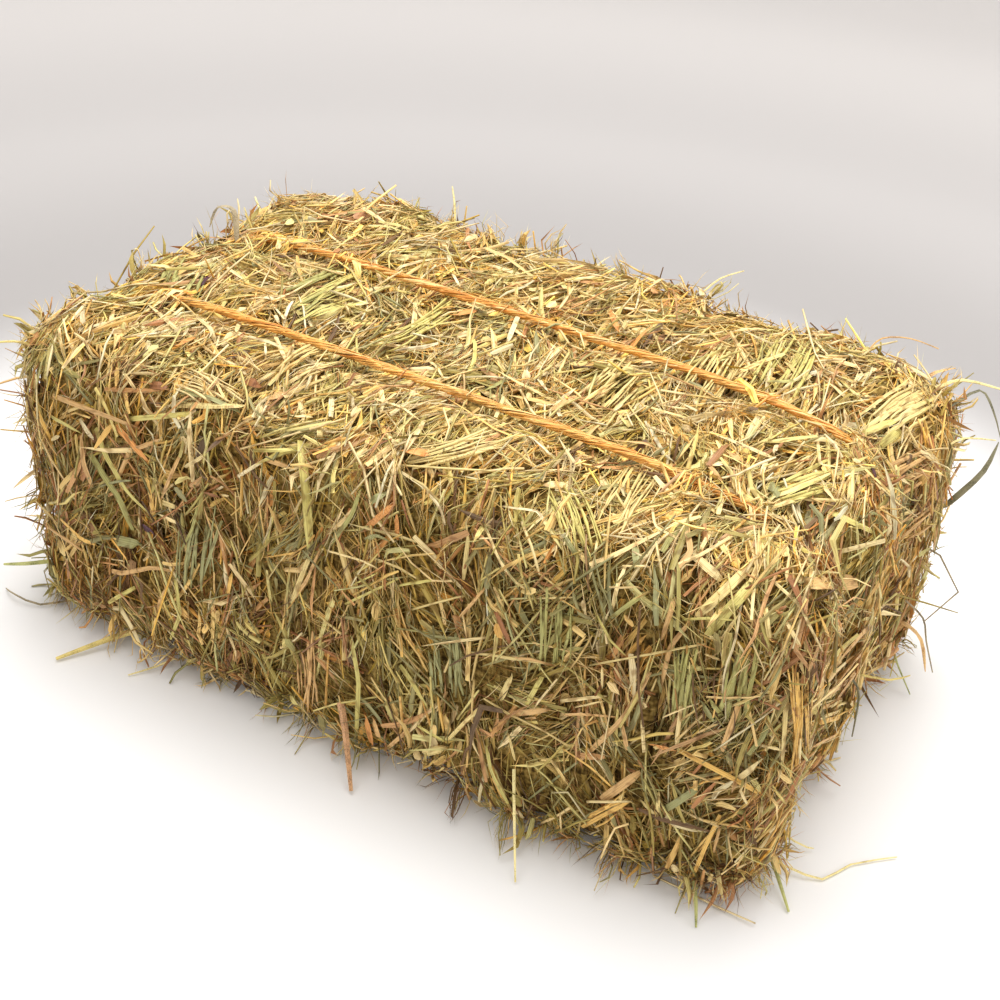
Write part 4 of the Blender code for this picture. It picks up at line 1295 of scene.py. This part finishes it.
TOP_STRAWS = (
    ("cream", 5, 142, 280, 170, 295, 178, 305),
    ("cream", 4, 146, 302, 182, 334),
    ("purple", 7, 207, 275, 197, 288),
    ("cream", 4, 239, 322, 231, 345),
    ("cream", 4, 275, 335, 287, 364),
    ("bleached", 3.5, 272, 307, 280, 326),
    ("bleached", 3, 265, 342, 266, 360),
    ("cream", 4, 195, 315, 210, 327, 217, 347),
    ("pale", 6, 172, 405, 220, 406, 257, 405),
    ("yellow_green", 5.5, 130, 419, 170, 416, 200, 412),
    ("grey_green", 6, 175, 390, 210, 397, 240, 412),
    ("cream", 3, 215, 380, 240, 400, 285, 421),
    ("pale", 3, 197, 377, 217, 402),
    ("pale", 3, 212, 375, 227, 402),
    ("tan", 9, 260, 400, 290, 392),
    ("brown", 9, 247, 380, 260, 385),
    ("brown", 8, 150, 385, 167, 386),
    ("orange", 7, 172, 347, 195, 337),
    ("cream", 3, 120, 382, 157, 347),
    ("cream", 3, 122, 370, 137, 392),
    ("pale", 2.5, 135, 337, 190, 336),
    ("bleached", 4, 287, 285, 305, 287),
    ("cream", 3, 345, 302, 349, 315),
    ("cream", 3, 340, 307, 377, 302),
    ("cream", 4, 285, 385, 310, 370),
    ("bleached", 3, 312, 372, 305, 392),
    ("bleached", 3, 352, 395, 354, 412),
    ("cream", 5, 290, 415, 312, 417),
    ("pale", 6, 320, 425, 320, 440),
    ("yellow_green", 4, 255, 450, 295, 450),
    ("pale", 2.5, 462, 299, 500, 310),
    ("bleached", 3, 452, 272, 462, 290),
    ("cream", 5, 416, 300, 412, 340),
    ("pale", 2.5, 405, 287, 392, 325),
    ("bleached", 5, 522, 306, 515, 324, 506, 345),
    ("cream", 4, 510, 327, 530, 340),
    ("cream", 3, 429, 361, 437, 366, 445, 382),
    ("pale", 3, 429, 357, 465, 340),
    ("yellow_green", 4, 462, 332, 475, 340, 475, 360, 465, 380),
    ("pale", 2, 495, 355, 502, 372, 512, 390),
    ("cream", 3, 516, 381, 532, 412, 550, 430),
    ("bleached", 3.5, 536, 376, 551, 395),
    ("pale", 3, 555, 363, 530, 382),
    ("pale", 3, 570, 350, 555, 380),
    ("cream", 4, 505, 395, 494, 420),
    ("bleached", 3, 562, 402, 557, 416),
    ("tan", 7, 545, 412, 580, 395),
    ("green", 5, 482, 392, 520, 372),
    ("orange", 9, 452, 315, 475, 310),
    ("cream", 4, 602, 371, 622, 377),
    ("pale", 3, 620, 407, 602, 432),
    ("cream", 3.5, 370, 397, 402, 407, 420, 420),
    ("orange", 11, 404, 450, 432, 454),
    ("cream", 4, 385, 432, 400, 449),
    ("cream", 4, 457, 412, 442, 430),
    ("pale", 3, 577, 291, 610, 302),
    ("cream", 3, 575, 286, 557, 312),
    ("pale", 2.5, 596, 282, 630, 280),
    ("orange", 5, 610, 310, 620, 335),
    ("cream", 5, 711, 432, 740, 444, 780, 460),
    ("bleached", 4.5, 777, 444, 773, 456),
    ("bleached", 4.5, 767, 460, 760, 477),
    ("cream", 4.5, 815, 374, 832, 385, 850, 400),
    ("pale", 4, 626, 400, 637, 417, 652, 437),
    ("pale", 2.5, 630, 402, 677, 415, 705, 424),
    ("cream", 2.5, 655, 405, 695, 410),
    ("green", 4, 763, 381, 790, 381, 815, 375),
    ("cream", 3, 794, 419, 815, 439),
    ("cream", 3, 817, 432, 820, 465, 840, 467),
    ("cream", 5, 725, 485, 717, 517),
    ("cream", 3, 696, 482, 712, 497),
    ("tan", 6, 707, 462, 725, 485),
    ("tan", 9, 730, 452, 743, 461),
    ("tan", 5, 607, 440, 647, 443, 660, 450),
    ("cream", 3, 667, 490, 715, 500),
    ("brown", 2.5, 792, 325, 817, 330, 840, 342),
    ("pale", 2.5, 400, 465, 505, 472),
    ("cream", 3, 337, 450, 347, 440, 360, 432),
)
END_STRAWS = (
    ("yellow_green", 9, 900, 430, 872, 452),
    ("pale", 4, 857, 430, 895, 407, 937, 387),
    ("yellow_green", 8, 857, 436, 885, 424, 905, 415),
    ("pale", 6.5, 852, 467, 850, 507),
    ("yellow_green", 7, 830, 512, 875, 532),
    ("pale", 3.5, 885, 520, 920, 509),
    ("cream", 4.5, 830, 554, 900, 537),
    ("tan", 17, 810, 584, 858, 581),
    ("cream", 3, 772, 580, 800, 605, 826, 659),
    ("brown", 9, 790, 575, 800, 600, 808, 620),
    ("orange", 10, 915, 427, 950, 402),
    ("purple", 7, 873, 465, 877, 485),
    ("bleached", 2, 905, 417, 901, 447),
    ("cream", 3, 870, 440, 867, 460),
    ("cream", 6, 762, 509, 742, 496, 722, 488),
    ("pale", 4, 762, 509, 745, 500, 728, 497),
    ("pale", 5, 762, 509, 780, 505, 803, 497),
    ("pale", 3.5, 762, 509, 772, 498, 780, 490),
    ("cream", 4, 762, 509, 764, 528, 763, 545),
    ("golden", 3.5, 762, 509, 776, 526, 782, 545),
    ("pale", 3.5, 762, 509, 786, 522, 800, 545),
    ("golden", 3, 762, 509, 745, 520, 732, 533),
    ("cream", 2.5, 762, 509, 752, 500, 748, 490),
    ("pale", 9, 770, 498, 800, 486, 832, 471),
    ("yellow_green", 5, 785, 501, 815, 494),
    ("grey_green", 14, 777, 485, 772, 497),
    ("cream", 8, 875, 632, 835, 682),
    ("tan", 8, 860, 630, 817, 682),
    ("tan", 7, 847, 682, 810, 705),
    ("tan", 6, 842, 700, 812, 712),
    ("golden", 5, 840, 717, 812, 725),
    ("tan", 5, 837, 735, 807, 750),
    ("pale", 5.5, 787, 687, 785, 725, 782, 770),
    ("golden", 4, 806, 692, 807, 730, 805, 765),
    ("golden", 4.5, 805, 750, 803, 790),
    ("cream", 3, 801, 720, 799, 770),
    ("pale", 5, 765, 607, 770, 640),
    ("cream", 4, 787, 622, 800, 647),
    ("cream", 3, 760, 745, 787, 751),
    ("cream", 3, 820, 602, 845, 632),
    ("golden", 4, 816, 607, 831, 640),
    ("tan", 3.5, 944, 480, 946, 505, 938, 535),
    ("brown", 3, 935, 470, 938, 500, 930, 520),
)
# How many lie side by side in each combed tuft and how broad it is, then as above
FRONT_TUFTS = (
    (5, 14, "green", 4, 688, 640, 684, 680, 680, 720),
    (5, 24, "green", 4.5, 748, 640, 740, 680, 732, 720),
    (4, 12, "golden", 3.5, 582, 825, 608, 812, 632, 800),
    (8, 30, "grey_green", 3.5, 440, 640, 443, 665, 446, 692),
    (8, 34, "grey_green", 3, 200, 520, 195, 550, 192, 585),
    (6, 30, "pale", 3, 640, 470, 620, 500, 605, 530),
    (6, 20, "tan", 3, 300, 640, 303, 680, 300, 712),
    (7, 26, "green", 3, 560, 590, 556, 630, 552, 668),
)
TOP_TUFTS = (
    (6, 18, "yellow_green", 3, 370, 350, 402, 340, 432, 322, 460, 300),
    (9, 30, "pale", 3.5, 590, 406, 612, 388, 636, 366),
    (10, 44, "pale", 3, 700, 395, 716, 372, 732, 345),
    (10, 44, "yellow_green", 3, 768, 390, 785, 360, 797, 335),
    (8, 24, "pale", 3, 285, 375, 305, 360, 340, 350),
    (7, 22, "yellow_green", 3.5, 290, 318, 325, 298, 362, 284),
    (7, 20, "green", 3, 284, 304, 320, 286, 350, 272),
    (8, 16, "pale", 3, 405, 462, 450, 452, 490, 440, 522, 425),
    (9, 34, "yellow_green", 3, 560, 482, 574, 515, 582, 552),
    (7, 26, "cream", 2.5, 172, 374, 200, 385, 224, 404),
    (10, 50, "green", 3, 170, 290, 178, 275, 186, 262),
)
END_TUFTS = (
    (9, 36, "pale", 4.5, 872, 432, 900, 408, 934, 390),
    (7, 30, "tan", 3.5, 880, 492, 905, 475, 936, 458),
    (7, 30, "tan", 3.5, 900, 542, 925, 525, 944, 508),
    (9, 16, "golden", 3.5, 803, 670, 804, 720, 802, 780),
    (5, 26, "tan", 6, 870, 636, 850, 660, 826, 690),
    (5, 22, "pale", 4.5, 840, 700, 812, 712),
    (6, 22, "yellow_green", 4, 770, 500, 800, 488, 832, 474),
)


def rays_through(spots):
    """The ways from the camera through spots of the picture, and how wide a pixel is one unit away."""
    half = PICTURE_SIDE / 2
    scale = SENSOR_WIDTH / CAMERA_LENS / PICTURE_SIDE
    rays = [(spots[:, 0] - half) * scale, (half - spots[:, 1]) * scale, np.full(len(spots), -1.0)]
    return unit(np.stack(rays, 1) @ np.array(camera.matrix_world.to_3x3()).T), scale


def seen_line(corners, rng, jitter):
    """The middle line of a strand on the form, from its corners in the picture."""
    run = np.concatenate([[0], np.cumsum(np.linalg.norm(np.diff(corners, axis=0), axis=1))])
    even = np.linspace(0, run[-1], STATIONS)
    spots = np.stack([np.interp(even, run, corners[:, axis]) for axis in (0, 1)], 1)
    sway = np.cumsum(rng.normal(0, jitter, (STATIONS, 2)), axis=0)
    rays, scale = rays_through(spots + sway - sway.mean(0))
    found = [form.ray_cast(CAMERA_PLACE, ray)[0] for ray in rays.tolist()]
    if None in found:
        return None
    places, facing = on_form(np.array(found))
    lift = TUCK + (rng.uniform(*LIFT) - TUCK) * np.sin(np.linspace(0, math.pi, STATIONS)) ** 0.7
    slant = np.maximum(-dot(rays, facing), LEAST_FACING)
    away = np.linalg.norm(places - CAMERA_PLACE, axis=1).mean()
    return places - rays * (lift[:, None] / slant), facing, away * scale


def lay_seen(heap, straws, tufts, seed):
    """Lays the straws, and the strands of the tufts that have each straw's place in them."""
    rng = np.random.default_rng(seed)
    rows = [
        (colour, width, np.array(corners, float).reshape(-1, 2), STRAW_SWAY)
        for colour, width, *corners in straws
    ]
    for many, spread, colour, width, *corners in tufts:
        corners = np.array(corners, float).reshape(-1, 2)
        middle = corners.mean(0)
        way = unit(corners[-1] - corners[0])
        across = np.array([-way[1], way[0]])
        for _ in range(many * TUFT_FILL):
            moved = middle + (corners - middle) * rng.uniform(*TUFT_LENGTHS)
            moved = moved + across * rng.uniform(*TUFT_ACROSS) * spread + way * rng.normal(0, TUFT_ALONG)
            tilt = rng.normal(0, TUFT_TILT)
            moved = moved + across * ((moved - middle) @ way)[:, None] * tilt
            rows.append((colour, width * rng.uniform(*TUFT_WIDTHS), moved, TUFT_SWAY))
    batches = {"straw": [], "blade": []}
    for colour, width, corners, jitter in rows:
        seen = seen_line(corners, rng, jitter)
        if seen is None:
            continue
        line, facing, scale = seen
        tint = STRAW_COLOURS[colour] * rng.normal(1, STRAW_BRIGHTNESS)
        kind = "straw" if width < STRAW_UNDER and rng.uniform() < STRAW_SHARE else "blade"
        flatness = LEAF_FLATNESS if width > LEAF_FROM else BLADE_FLATNESS
        if kind == "straw":
            flatness = STRAW_FLATNESS
        batches[kind].append((line, facing, tint, width * scale, flatness))
    for number, (kind, model) in enumerate((("straw", LONG_STRAW), ("blade", LONG_BLADE))):
        if not batches[kind]:
            continue
        line, facing, tints, widths, flatness = map(np.array, zip(*batches[kind]))
        count = len(line)
        roll = rng.normal(0, STRAW_ROLL, count)
        twist = rng.normal(0, STRAND_TWIST, count)
        lengths = np.linalg.norm(np.diff(line, axis=1), axis=2).sum(1)
        heap.lay(model, line, facing, widths, flatness, tints, lengths, seed * 10 + number,
                 roll=roll, twist=twist)


SEEN_PIECES = (
    ("front_straws", FRONT_STRAWS, FRONT_TUFTS),
    ("top_straws", TOP_STRAWS, TOP_TUFTS),
    ("end_straws", END_STRAWS, END_TUFTS),
)
for number, (name, straws, tufts) in enumerate(SEEN_PIECES):
    heap = Heap()
    lay_seen(heap, straws, tufts, 800 + number)
    strand_piece(name, heap.mesh(name), hay_skin)

# The ragged rim. Loose ends of hay stand off the rounded edges of the bale and trail on the floor
# along its foot. They are rooted in the pressed hay, a few to a tuft.

RIM_FACING = 0.12
RIM_HEIGHT = 0.03
FOOT_HEIGHT = 0.016
RIM_TUFTS = 700
FOOT_TUFTS = 300
RIM_STRANDS = 3.2
RIM_SPREAD = 0.0016
RIM_ROOT = -0.0035
RIM_LEAST_RISE = 0.15
RIM_CURL = 0.05
RIM_UPRIGHT = (0.25, 1.0)
RIM_FAN = 0.28
RIM_BEND = 0.30
RIM_FLATNESS = 0.6
# Kind: model, share, reach and width ranges in mm
RIM_KINDS = (
    (HAIR, 0.46, (7, 24), (0.30, 0.60)),
    (FIBRE, 0.34, (8, 28), (0.5, 1.1)),
    (STEM, 0.10, (10, 28), (0.8, 1.6)),
    (BLADE, 0.10, (9, 24), (1.4, 3.4)),
)


def square_to(ways, rng):
    """A chance direction square to each way."""
    return unit(np.cross(ways, rng.normal(size=ways.shape)))


def lay_rim(heap, places, normals, lean, droop, seed):
    """Lays tufts of strands that stand off the form from their places."""
    rng = np.random.default_rng(seed)
    sizes = rng.poisson(RIM_STRANDS, len(places)).clip(1, 9)
    ids = np.repeat(np.arange(len(places)), sizes)
    upright = rng.uniform(*RIM_UPRIGHT, (len(places), 1))
    tuft_ways = unit(normals * upright + rng.normal(0, lean, (len(places), 3)))
    starts = places[ids] + rng.normal(0, RIM_SPREAD, (len(ids), 3)) + normals[ids] * RIM_ROOT
    ways = unit(tuft_ways[ids] + rng.normal(0, RIM_FAN, (len(ids), 3)))
    ways = unit(ways + normals[ids] * np.maximum(RIM_LEAST_RISE - dot(ways, normals[ids]), 0))
    tints = tints_at(places[ids], normals[ids], rng, ids, len(places))
    steps = np.cumsum([kind[1] for kind in RIM_KINDS])
    which = np.minimum(np.searchsorted(steps, rng.uniform(0, 1, len(ids))), len(RIM_KINDS) - 1)
    share = np.linspace(0, 1, STRAND_POINTS)[None, :, None]
    for number, (model, _, reach, width) in enumerate(RIM_KINDS):
        mine = which == number
        count = int(mine.sum())
        lengths = rng.triangular(reach[0], reach[0] * 0.7 + reach[1] * 0.3, reach[1], count) * MM
        widths = rng.uniform(*width, count) * MM
        bend = square_to(ways[mine], rng) * rng.normal(0, RIM_BEND, (count, 1))
        bend = bend + np.array([0.0, 0.0, -droop])
        curl = square_to(ways[mine], rng) * rng.exponential(RIM_CURL, (count, 1))
        straight = ways[mine][:, None] * share + bend[:, None] * share**2
        shape = straight + curl[:, None] * np.sin(share * 7)
        line = starts[mine][:, None] + shape * lengths[:, None, None]
        facing = np.repeat(square_to(ways[mine], rng)[:, None], STRAND_POINTS, axis=1)
        heap.lay(model, line, facing, widths, RIM_FLATNESS, tints[mine], lengths, seed * 10 + number)


# How many ends a clump has and how far they spread, and its root and its tip (x, y), in pixels
FLOOR_CLUMPS = (
    (12, 7, 60, 584, 48, 606),
    (18, 12, 92, 600, 82, 626),
    (20, 13, 122, 618, 112, 648),
    (20, 13, 156, 634, 148, 664),
    (9, 7, 345, 732, 334, 762),
    (18, 8, 462, 782, 452, 820),
    (18, 9, 512, 808, 500, 852),
    (12, 8, 532, 818, 524, 842),
    (14, 9, 612, 852, 596, 886),
    (14, 9, 634, 858, 626, 880),
    (20, 12, 696, 876, 684, 904),
    (22, 13, 728, 882, 724, 904),
    (20, 12, 756, 872, 764, 898),
    (12, 8, 770, 852, 784, 880),
)
STANDING_CLUMPS = (
    (16, 8, 496, 240, 492, 222),
    (18, 9, 522, 248, 528, 228),
    (18, 9, 552, 257, 562, 230),
    (9, 7, 452, 224, 456, 200),
    (10, 7, 206, 244, 194, 228),
    (10, 7, 228, 236, 230, 208),
    (9, 6, 34, 342, 16, 324),
    (9, 6, 86, 298, 74, 288),
    (9, 7, 138, 272, 132, 254),
    (9, 7, 626, 270, 618, 254),
    (10, 7, 712, 294, 730, 280),
    (10, 7, 944, 382, 962, 370),
    (10, 7, 948, 408, 972, 398),
    (10, 7, 948, 440, 972, 448),
    (9, 7, 934, 500, 950, 512),
    (9, 7, 918, 560, 938, 574),
    (10, 7, 898, 640, 920, 652),
    (10, 7, 866, 680, 894, 678),
    (8, 6, 788, 792, 800, 812),
    (8, 6, 776, 846, 802, 852),
)
CLUMP_HEIGHT = (0.0008, 0.009)
CLUMP_REACH = (0.6, 1.15)
CLUMP_BOW = 0.16
BALE_AWAY = (0.5, 1.3)
RAY_STEPS = 120


def lay_clumps(heap, clumps, on_floor, seed):
    """Lays clumps of loose ends that lean from their roots to their tips."""
    rng = np.random.default_rng(seed)
    starts, ways, own = [], [], []
    for number, (many, spread, *ends) in enumerate(clumps):
        rays, scale = rays_through(np.array(ends, float).reshape(2, 2))
        hit = form.ray_cast(CAMERA_PLACE, rays[0].tolist())[0]
        if hit is None:
            along = CAMERA_PLACE + rays[0] * np.linspace(*BALE_AWAY, RAY_STEPS)[:, None]
            hit = min((form.find_nearest(spot) for spot in along.tolist()), key=lambda near: near[3])[0]
        away = math.dist(hit, CAMERA_PLACE)
        spread = rng.normal(0, spread * scale * away / 2, (2, many, 3))
        tip = np.array(CAMERA_PLACE) + rays[1] * away
        if on_floor:
            heights = rng.uniform(*CLUMP_HEIGHT, many)
            tip = CAMERA_PLACE + rays[1] * ((heights - CAMERA_PLACE[2]) / rays[1][2])[:, None]
        start = np.array(hit) - RIM_ROOT * rays[0] + spread[0]
        starts.append(start)
        ways.append((tip + spread[1] - start) * rng.uniform(*CLUMP_REACH, (many, 1)))
        own.append(np.full(many, number))
    starts, ways, own = np.concatenate(starts), np.concatenate(ways), np.concatenate(own)
    places, normals = on_form(starts)
    tints = tints_at(places, normals, rng, own, len(clumps))
    which = rng.choice(len(RIM_KINDS), len(own), p=[kind[1] for kind in RIM_KINDS])
    share = np.linspace(0, 1, STRAND_POINTS)[None, :, None]
    for number, (model, _, _, width) in enumerate(RIM_KINDS):
        mine = which == number
        count = int(mine.sum())
        lengths = np.linalg.norm(ways[mine], axis=1)
        widths = rng.uniform(*width, count) * MM
        bow = rng.normal(0, CLUMP_BOW, (count, 1, 3)) * lengths[:, None, None]
        line = starts[mine][:, None] + ways[mine][:, None] * share + bow * np.sin(share * math.pi)
        facing = np.repeat(square_to(ways[mine], rng)[:, None], STRAND_POINTS, axis=1)
        heap.lay(model, line, facing, widths, RIM_FLATNESS, tints[mine], lengths, seed * 10 + number)


heap = Heap()
rng = np.random.default_rng(900)
spread_out = sample(bale_faces, rng)
rng.shuffle(spread_out)
places, normals = on_form(spread_out)
edge = 1 - side_weights(normals).max(1)
on_rim = (edge > RIM_FACING) & (places[:, 2] > RIM_HEIGHT)
at_foot = (places[:, 2] < FOOT_HEIGHT) & (places[:, 2] > 0.001) & (abs(normals[:, 2]) < 0.95)
flat = unit(normals * np.array([1.0, 1.0, 0.0]) + 1e-6)
lay_rim(heap, places[on_rim][:RIM_TUFTS], normals[on_rim][:RIM_TUFTS], 0.45, 0.12, 901)
lay_rim(heap, places[at_foot][:FOOT_TUFTS], flat[at_foot][:FOOT_TUFTS], 0.40, 0.30, 902)
lay_clumps(heap, FLOOR_CLUMPS, True, 903)
lay_clumps(heap, STANDING_CLUMPS, False, 904)
strand_piece("ragged_rim", heap.mesh("ragged_rim"), hay_skin)

# The stalks and leaves that stick out of the bale or lie on the floor beside it. Their shapes are
# the frame's own. Each is dry and mottled, with darker fibres and paler worn patches.

STRAY_FINISHES = (
    ("pale_stalk", (0.93, 0.87, 0.62), (0.74, 0.66, 0.40), (
        "floor_stem", "hanging_stalk", "thin_stem", "side_straw", "top_wisp", "back_straw", "far_straw",
        "back_wisp", "forked_stem", "corner_stem")),
    ("green_stalk", (0.72, 0.72, 0.46), (0.48, 0.50, 0.30), (
        "green_blade", "low_stem", "foot_blade", "hooked_blade", "back_reed", "far_leaf", "back_leaf")),
    ("grey_green_blade", (0.49, 0.47, 0.36), (0.32, 0.31, 0.22), (
        "olive_leaf", "olive_blade", "drooping_stem")),
    ("yellow_stalk", (0.86, 0.78, 0.48), (0.66, 0.58, 0.32), (
        "resting_stalk", "corner_wisp", "back_stalk", "far_stem", "far_floor_stem", "side_stem")),
    ("tan_leaf_skin", (0.86, 0.70, 0.46), (0.62, 0.45, 0.27), (
        "tan_leaf", "brown_bit", "arched_stem", "back_stem", "far_stalk")),
    ("brown_reed_skin", (0.80, 0.62, 0.45), (0.50, 0.36, 0.24), ("reed",)),
    ("grey_wire", (0.66, 0.60, 0.48), (0.40, 0.36, 0.27), (
        "kinked_stem", "curled_stem", "wiry_stem", "curled_leaf")),
)
for name, light, dark, nodes in STRAY_FINISHES:
    stalk_skin, shader, add, link = new_material(name)
    coords = add("ShaderNodeTexCoord")
    fibres = add("ShaderNodeTexNoise", {"Vector": coords.outputs["Object"], "Scale": 1500.0, "Detail": 3.0})
    mottles = add("ShaderNodeTexNoise", {"Vector": coords.outputs["Object"], "Scale": 110.0, "Detail": 3.0})
    mixed = add("ShaderNodeMix", {0: 0.5, 2: fibres.outputs["Fac"], 3: mottles.outputs["Fac"]})
    stalk_shade = add("ShaderNodeValToRGB", {"Fac": mixed.outputs[0]})
    ramp(stalk_shade, [(0.36, daylight(*dark)), (0.5, daylight(*light)), (0.62, daylight(*light) * 1.12)])
    link(stalk_shade.outputs["Color"], shader.inputs["Base Color"])
    worn = add("ShaderNodeMapRange", {"Value": fibres.outputs["Fac"], "To Min": 0.65, "To Max": 0.45})
    link(worn.outputs["Result"], shader.inputs["Roughness"])
    ribs = add("ShaderNodeBump", {"Strength": 0.5, "Distance": 0.0003, "Height": fibres.outputs["Fac"]})
    link(ribs.outputs["Normal"], shader.inputs["Normal"])
    shader.inputs["Specular IOR Level"].default_value = 0.35
    for node in nodes:
        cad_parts[node].material_slots[0].material = stalk_skin
